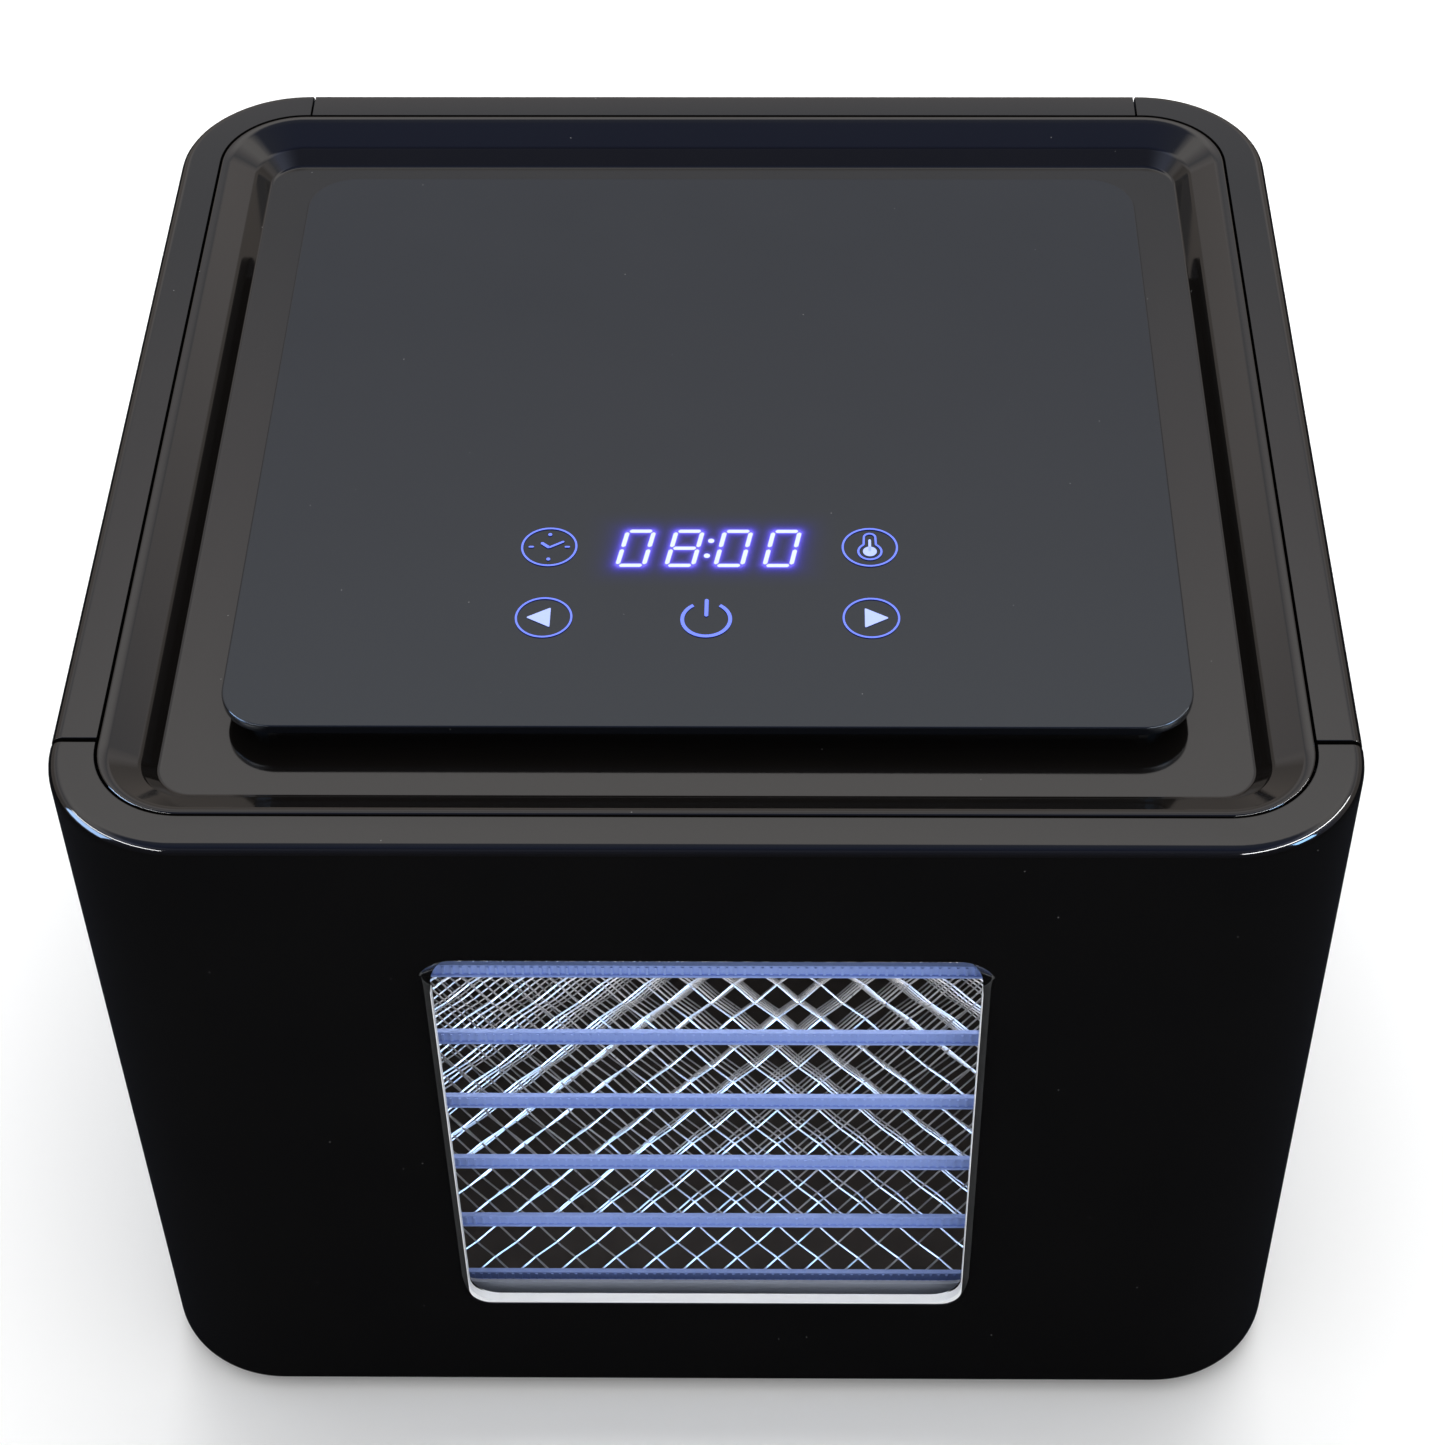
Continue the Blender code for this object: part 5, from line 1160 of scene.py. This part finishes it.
dressed = {
    "front_frame": satinBlack, "pedestal": satinBlack, "fan_impeller": satinBlack,
    "door_window": clearGlass, "chamber_left_wall": chamberSteel, "chamber_right_wall": chamberSteel,
    "chamber_floor": chamberSteel, "chamber_ceiling": chamberSteel, "rear_bulkhead": chamberSteel,
    "motor_bracket": steel, "fan_shaft": steel, "door_strike_plate": steel, "hinge_lower_pin": wireSteel,
    "hinge_upper_pin": wireSteel, "base_pan": darkSteel, "hinge_lower_bracket": darkSteel,
    "hinge_upper_bracket": darkSteel, "hinge_lower_door_lug": darkSteel, "hinge_upper_door_lug": darkSteel,
    "catch_magnet": darkSteel, "fan_motor": darkSteel, "mains_loom": rubber, "panel_lead": rubber,
    "door_gasket": silicone, "control_board": boardGreen, "power_board": boardGreen, "heater_frame": mica,
    "heater_coil": nichrome, "display_module": whitePlastic, "thermal_cutout": whitePlastic,
}
for node, material in dressed.items():
    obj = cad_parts[node]
    if not obj.material_slots:
        obj.data.materials.append(material)
    for entry in obj.material_slots:
        entry.material = material
print("nodes dressed:", len(dressed))

stage = {"floorSize": 12.0, "floorColour": (0.93, 0.93, 0.93), "floorInGloss": (0.010, 0.011, 0.014)}


def studioFloor():
    deselectAll()
    bpy.ops.mesh.primitive_plane_add(size=stage["floorSize"], location=(0, 0, 0))
    floor = bpy.context.object
    floor.name = "studioFloor"
    material = bpy.data.materials.new("floorPaper")
    material.use_nodes = True
    tree = material.node_tree
    shader = tree.nodes["Principled BSDF"]
    shader.inputs["Base Color"].default_value = (*stage["floorColour"], 1)
    shader.inputs["Roughness"].default_value = 0.9
    shader.inputs["Specular IOR Level"].default_value = 0.0
    dark = addNode(tree, "ShaderNodeBsdfDiffuse", (0, -300))
    dark.inputs["Color"].default_value = (*stage["floorInGloss"], 1)
    path = addNode(tree, "ShaderNodeLightPath", (-300, 300))
    mix = addNode(tree, "ShaderNodeMixShader", (300, 0))
    tree.links.new(path.outputs["Is Glossy Ray"], mix.inputs["Fac"])
    tree.links.new(shader.outputs["BSDF"], mix.inputs[1])
    tree.links.new(dark.outputs["BSDF"], mix.inputs[2])
    tree.links.new(mix.outputs["Shader"], tree.nodes["Material Output"].inputs["Surface"])
    floor.data.materials.append(material)


# what gloss sees: by height, as half of (1 + sine of the elevation), and by depth, from front to back
mirrored = {"strength": 1.75,
            "height": ((0.50, (0.25, 0.22, 0.20)), (0.68, (0.32, 0.29, 0.27)), (0.73, (0.60, 0.56, 0.55)),
                       (0.765, (0.54, 0.51, 0.51)), (0.79, (0.37, 0.38, 0.41)), (0.828, (0.63, 0.60, 0.61)),
                       (0.872, (0.98, 0.95, 0.93)), (0.91, (1.0, 0.96, 0.94)), (0.945, (0.14, 0.17, 0.27))),
            "depth": ((0.20, (0.10, 0.12, 0.20)), (0.42, (0.60, 0.70, 1.0)), (0.58, (1.0, 1.0, 1.0)))}


# white to the eye and as light; in gloss, a graded wall behind, dark towards the front and overhead
def studioWorld():
    world = bpy.data.worlds.new("studio")
    bpy.context.scene.world = world
    world.use_nodes = True
    tree = world.node_tree
    for node in list(tree.nodes):
        tree.nodes.remove(node)
    place = addNode(tree, "ShaderNodeTexCoord", (-1200, 0))
    split = addNode(tree, "ShaderNodeSeparateXYZ", (-1000, 0))
    tree.links.new(place.outputs["Generated"], split.inputs["Vector"])

    def band(axis, points, y):
        share = addNode(tree, "ShaderNodeMapRange", (-800, y))
        share.inputs["From Min"].default_value = -1
        share.inputs["From Max"].default_value = 1
        tree.links.new(split.outputs[axis], share.inputs["Value"])
        ramp = addNode(tree, "ShaderNodeValToRGB", (-500, y))
        ramp.color_ramp.interpolation = "LINEAR"
        while len(ramp.color_ramp.elements) < len(points):
            ramp.color_ramp.elements.new(0.5)
        for element, (position, colour) in zip(ramp.color_ramp.elements, points):
            element.position = position
            element.color = (*colour, 1)
        tree.links.new(share.outputs["Result"], ramp.inputs["Fac"])
        return ramp.outputs["Color"]

    wall = band("Z", mirrored["height"], 150)
    side = band("Y", mirrored["depth"], -200)
    both = addNode(tree, "ShaderNodeMix", (-150, 0), data_type="RGBA", blend_type="MULTIPLY")
    both.inputs["Factor"].default_value = 1.0
    tree.links.new(wall, both.inputs["A"])
    tree.links.new(side, both.inputs["B"])
    gloss = addNode(tree, "ShaderNodeBackground", (100, 0))
    gloss.inputs["Strength"].default_value = mirrored["strength"]
    tree.links.new(both.outputs["Result"], gloss.inputs["Color"])
    white = addNode(tree, "ShaderNodeBackground", (100, 200))
    white.inputs["Color"].default_value = (1, 1, 1, 1)
    white.inputs["Strength"].default_value = 1.0
    path = addNode(tree, "ShaderNodeLightPath", (-150, 400))
    mix = addNode(tree, "ShaderNodeMixShader", (400, 0))
    tree.links.new(path.outputs["Is Glossy Ray"], mix.inputs["Fac"])
    tree.links.new(white.outputs["Background"], mix.inputs[1])
    tree.links.new(gloss.outputs["Background"], mix.inputs[2])
    out = addNode(tree, "ShaderNodeOutputWorld", (600, 0))
    tree.links.new(mix.outputs["Shader"], out.inputs["Surface"])


def areaLight(name, place, aim, size, power, colour=(1, 1, 1), gloss=True):
    data = bpy.data.lights.new(name, "AREA")
    data.shape = "RECTANGLE"
    data.size, data.size_y = size
    data.energy = power
    data.color = colour
    lamp = bpy.data.objects.new(name, data)
    bpy.context.scene.collection.objects.link(lamp)
    lamp.location = place
    lamp.rotation_euler = (Vector(aim) - Vector(place)).to_track_quat("-Z", "Y").to_euler()
    lamp.visible_glossy = gloss
    return lamp


lamps = {"sky": ((0.1, 0.9, 1.5), (0, 0, 0.1), (1.6, 1.2), 22), "chamberSize": (0.22, 0.05),
         "chamberPower": 0.35, "chamberColour": (1.0, 0.97, 0.93), "behindTray": 0.05, "belowCeiling": 0.002,
         "cornerReach": 1.6}
cornerLights = {"leftWindow": (-105, 27, (0.80, 0.60), 30, (0.40, 0.62, 1.0)),
                "leftStrip": (-120, 44, (1.6, 0.07), 14, (1, 1, 1)),
                "rightWindow": (122, 27, (0.36, 0.40), 14, (0.32, 0.60, 1.0)),
                "rightStrip": (118, 44, (2.2, 0.09), 30, (1, 1, 1))}


def chamberLamp():
    front, top = boxes["tray_1"][0].y, boxes["chamber_ceiling"][0].z
    areaLight("chamberLight", (0, front + lamps["behindTray"], top - lamps["belowCeiling"]), (0, 0, 0),
              lamps["chamberSize"], lamps["chamberPower"], lamps["chamberColour"])


# a window or a strip light seen only in gloss, placed for the rounded corners
def cornerLight(name, azimuth, elevation, size, power, colour):
    turn, rise, reach = radians(azimuth), radians(elevation), lamps["cornerReach"]
    place = Vector((sin(turn) * cos(rise), cos(turn) * cos(rise), sin(rise))) * reach
    lamp = areaLight(name, place, (0, 0, casingHigh.z), size, power, colour)
    lamp.visible_diffuse = False
    lamp.visible_camera = False


studioFloor()
studioWorld()
areaLight("skyPanel", *lamps["sky"], gloss=False)
chamberLamp()
for name, values in cornerLights.items():
    cornerLight(name, *values)

view = {"lens": 77.2, "shift": (-0.0282, 0.0394), "at": (0.0211, -0.6426, 0.7850), "pitch": 46.979,
        "yaw": -0.768, "roll": -0.433}


def mainCamera():
    data = bpy.data.cameras.new("camera")
    data.lens = view["lens"]
    data.sensor_width = 36
    data.shift_x, data.shift_y = view["shift"]
    data.clip_start = 0.05
    camera = bpy.data.objects.new("camera", data)
    bpy.context.scene.collection.objects.link(camera)
    pitch, yaw, roll = (radians(view[key]) for key in ("pitch", "yaw", "roll"))
    ahead = Vector((sin(yaw) * cos(pitch), cos(yaw) * cos(pitch), -sin(pitch)))
    right = Vector((cos(yaw), -sin(yaw), 0))
    up = right.cross(ahead)
    turned = right * cos(roll) + up * sin(roll)
    upright = up * cos(roll) - right * sin(roll)
    axes = Matrix((turned, upright, -ahead)).transposed()
    camera.matrix_world = Matrix.Translation(view["at"]) @ axes.to_4x4()
    bpy.context.scene.camera = camera


mainCamera()
bpy.context.scene.view_settings.view_transform = "Standard"
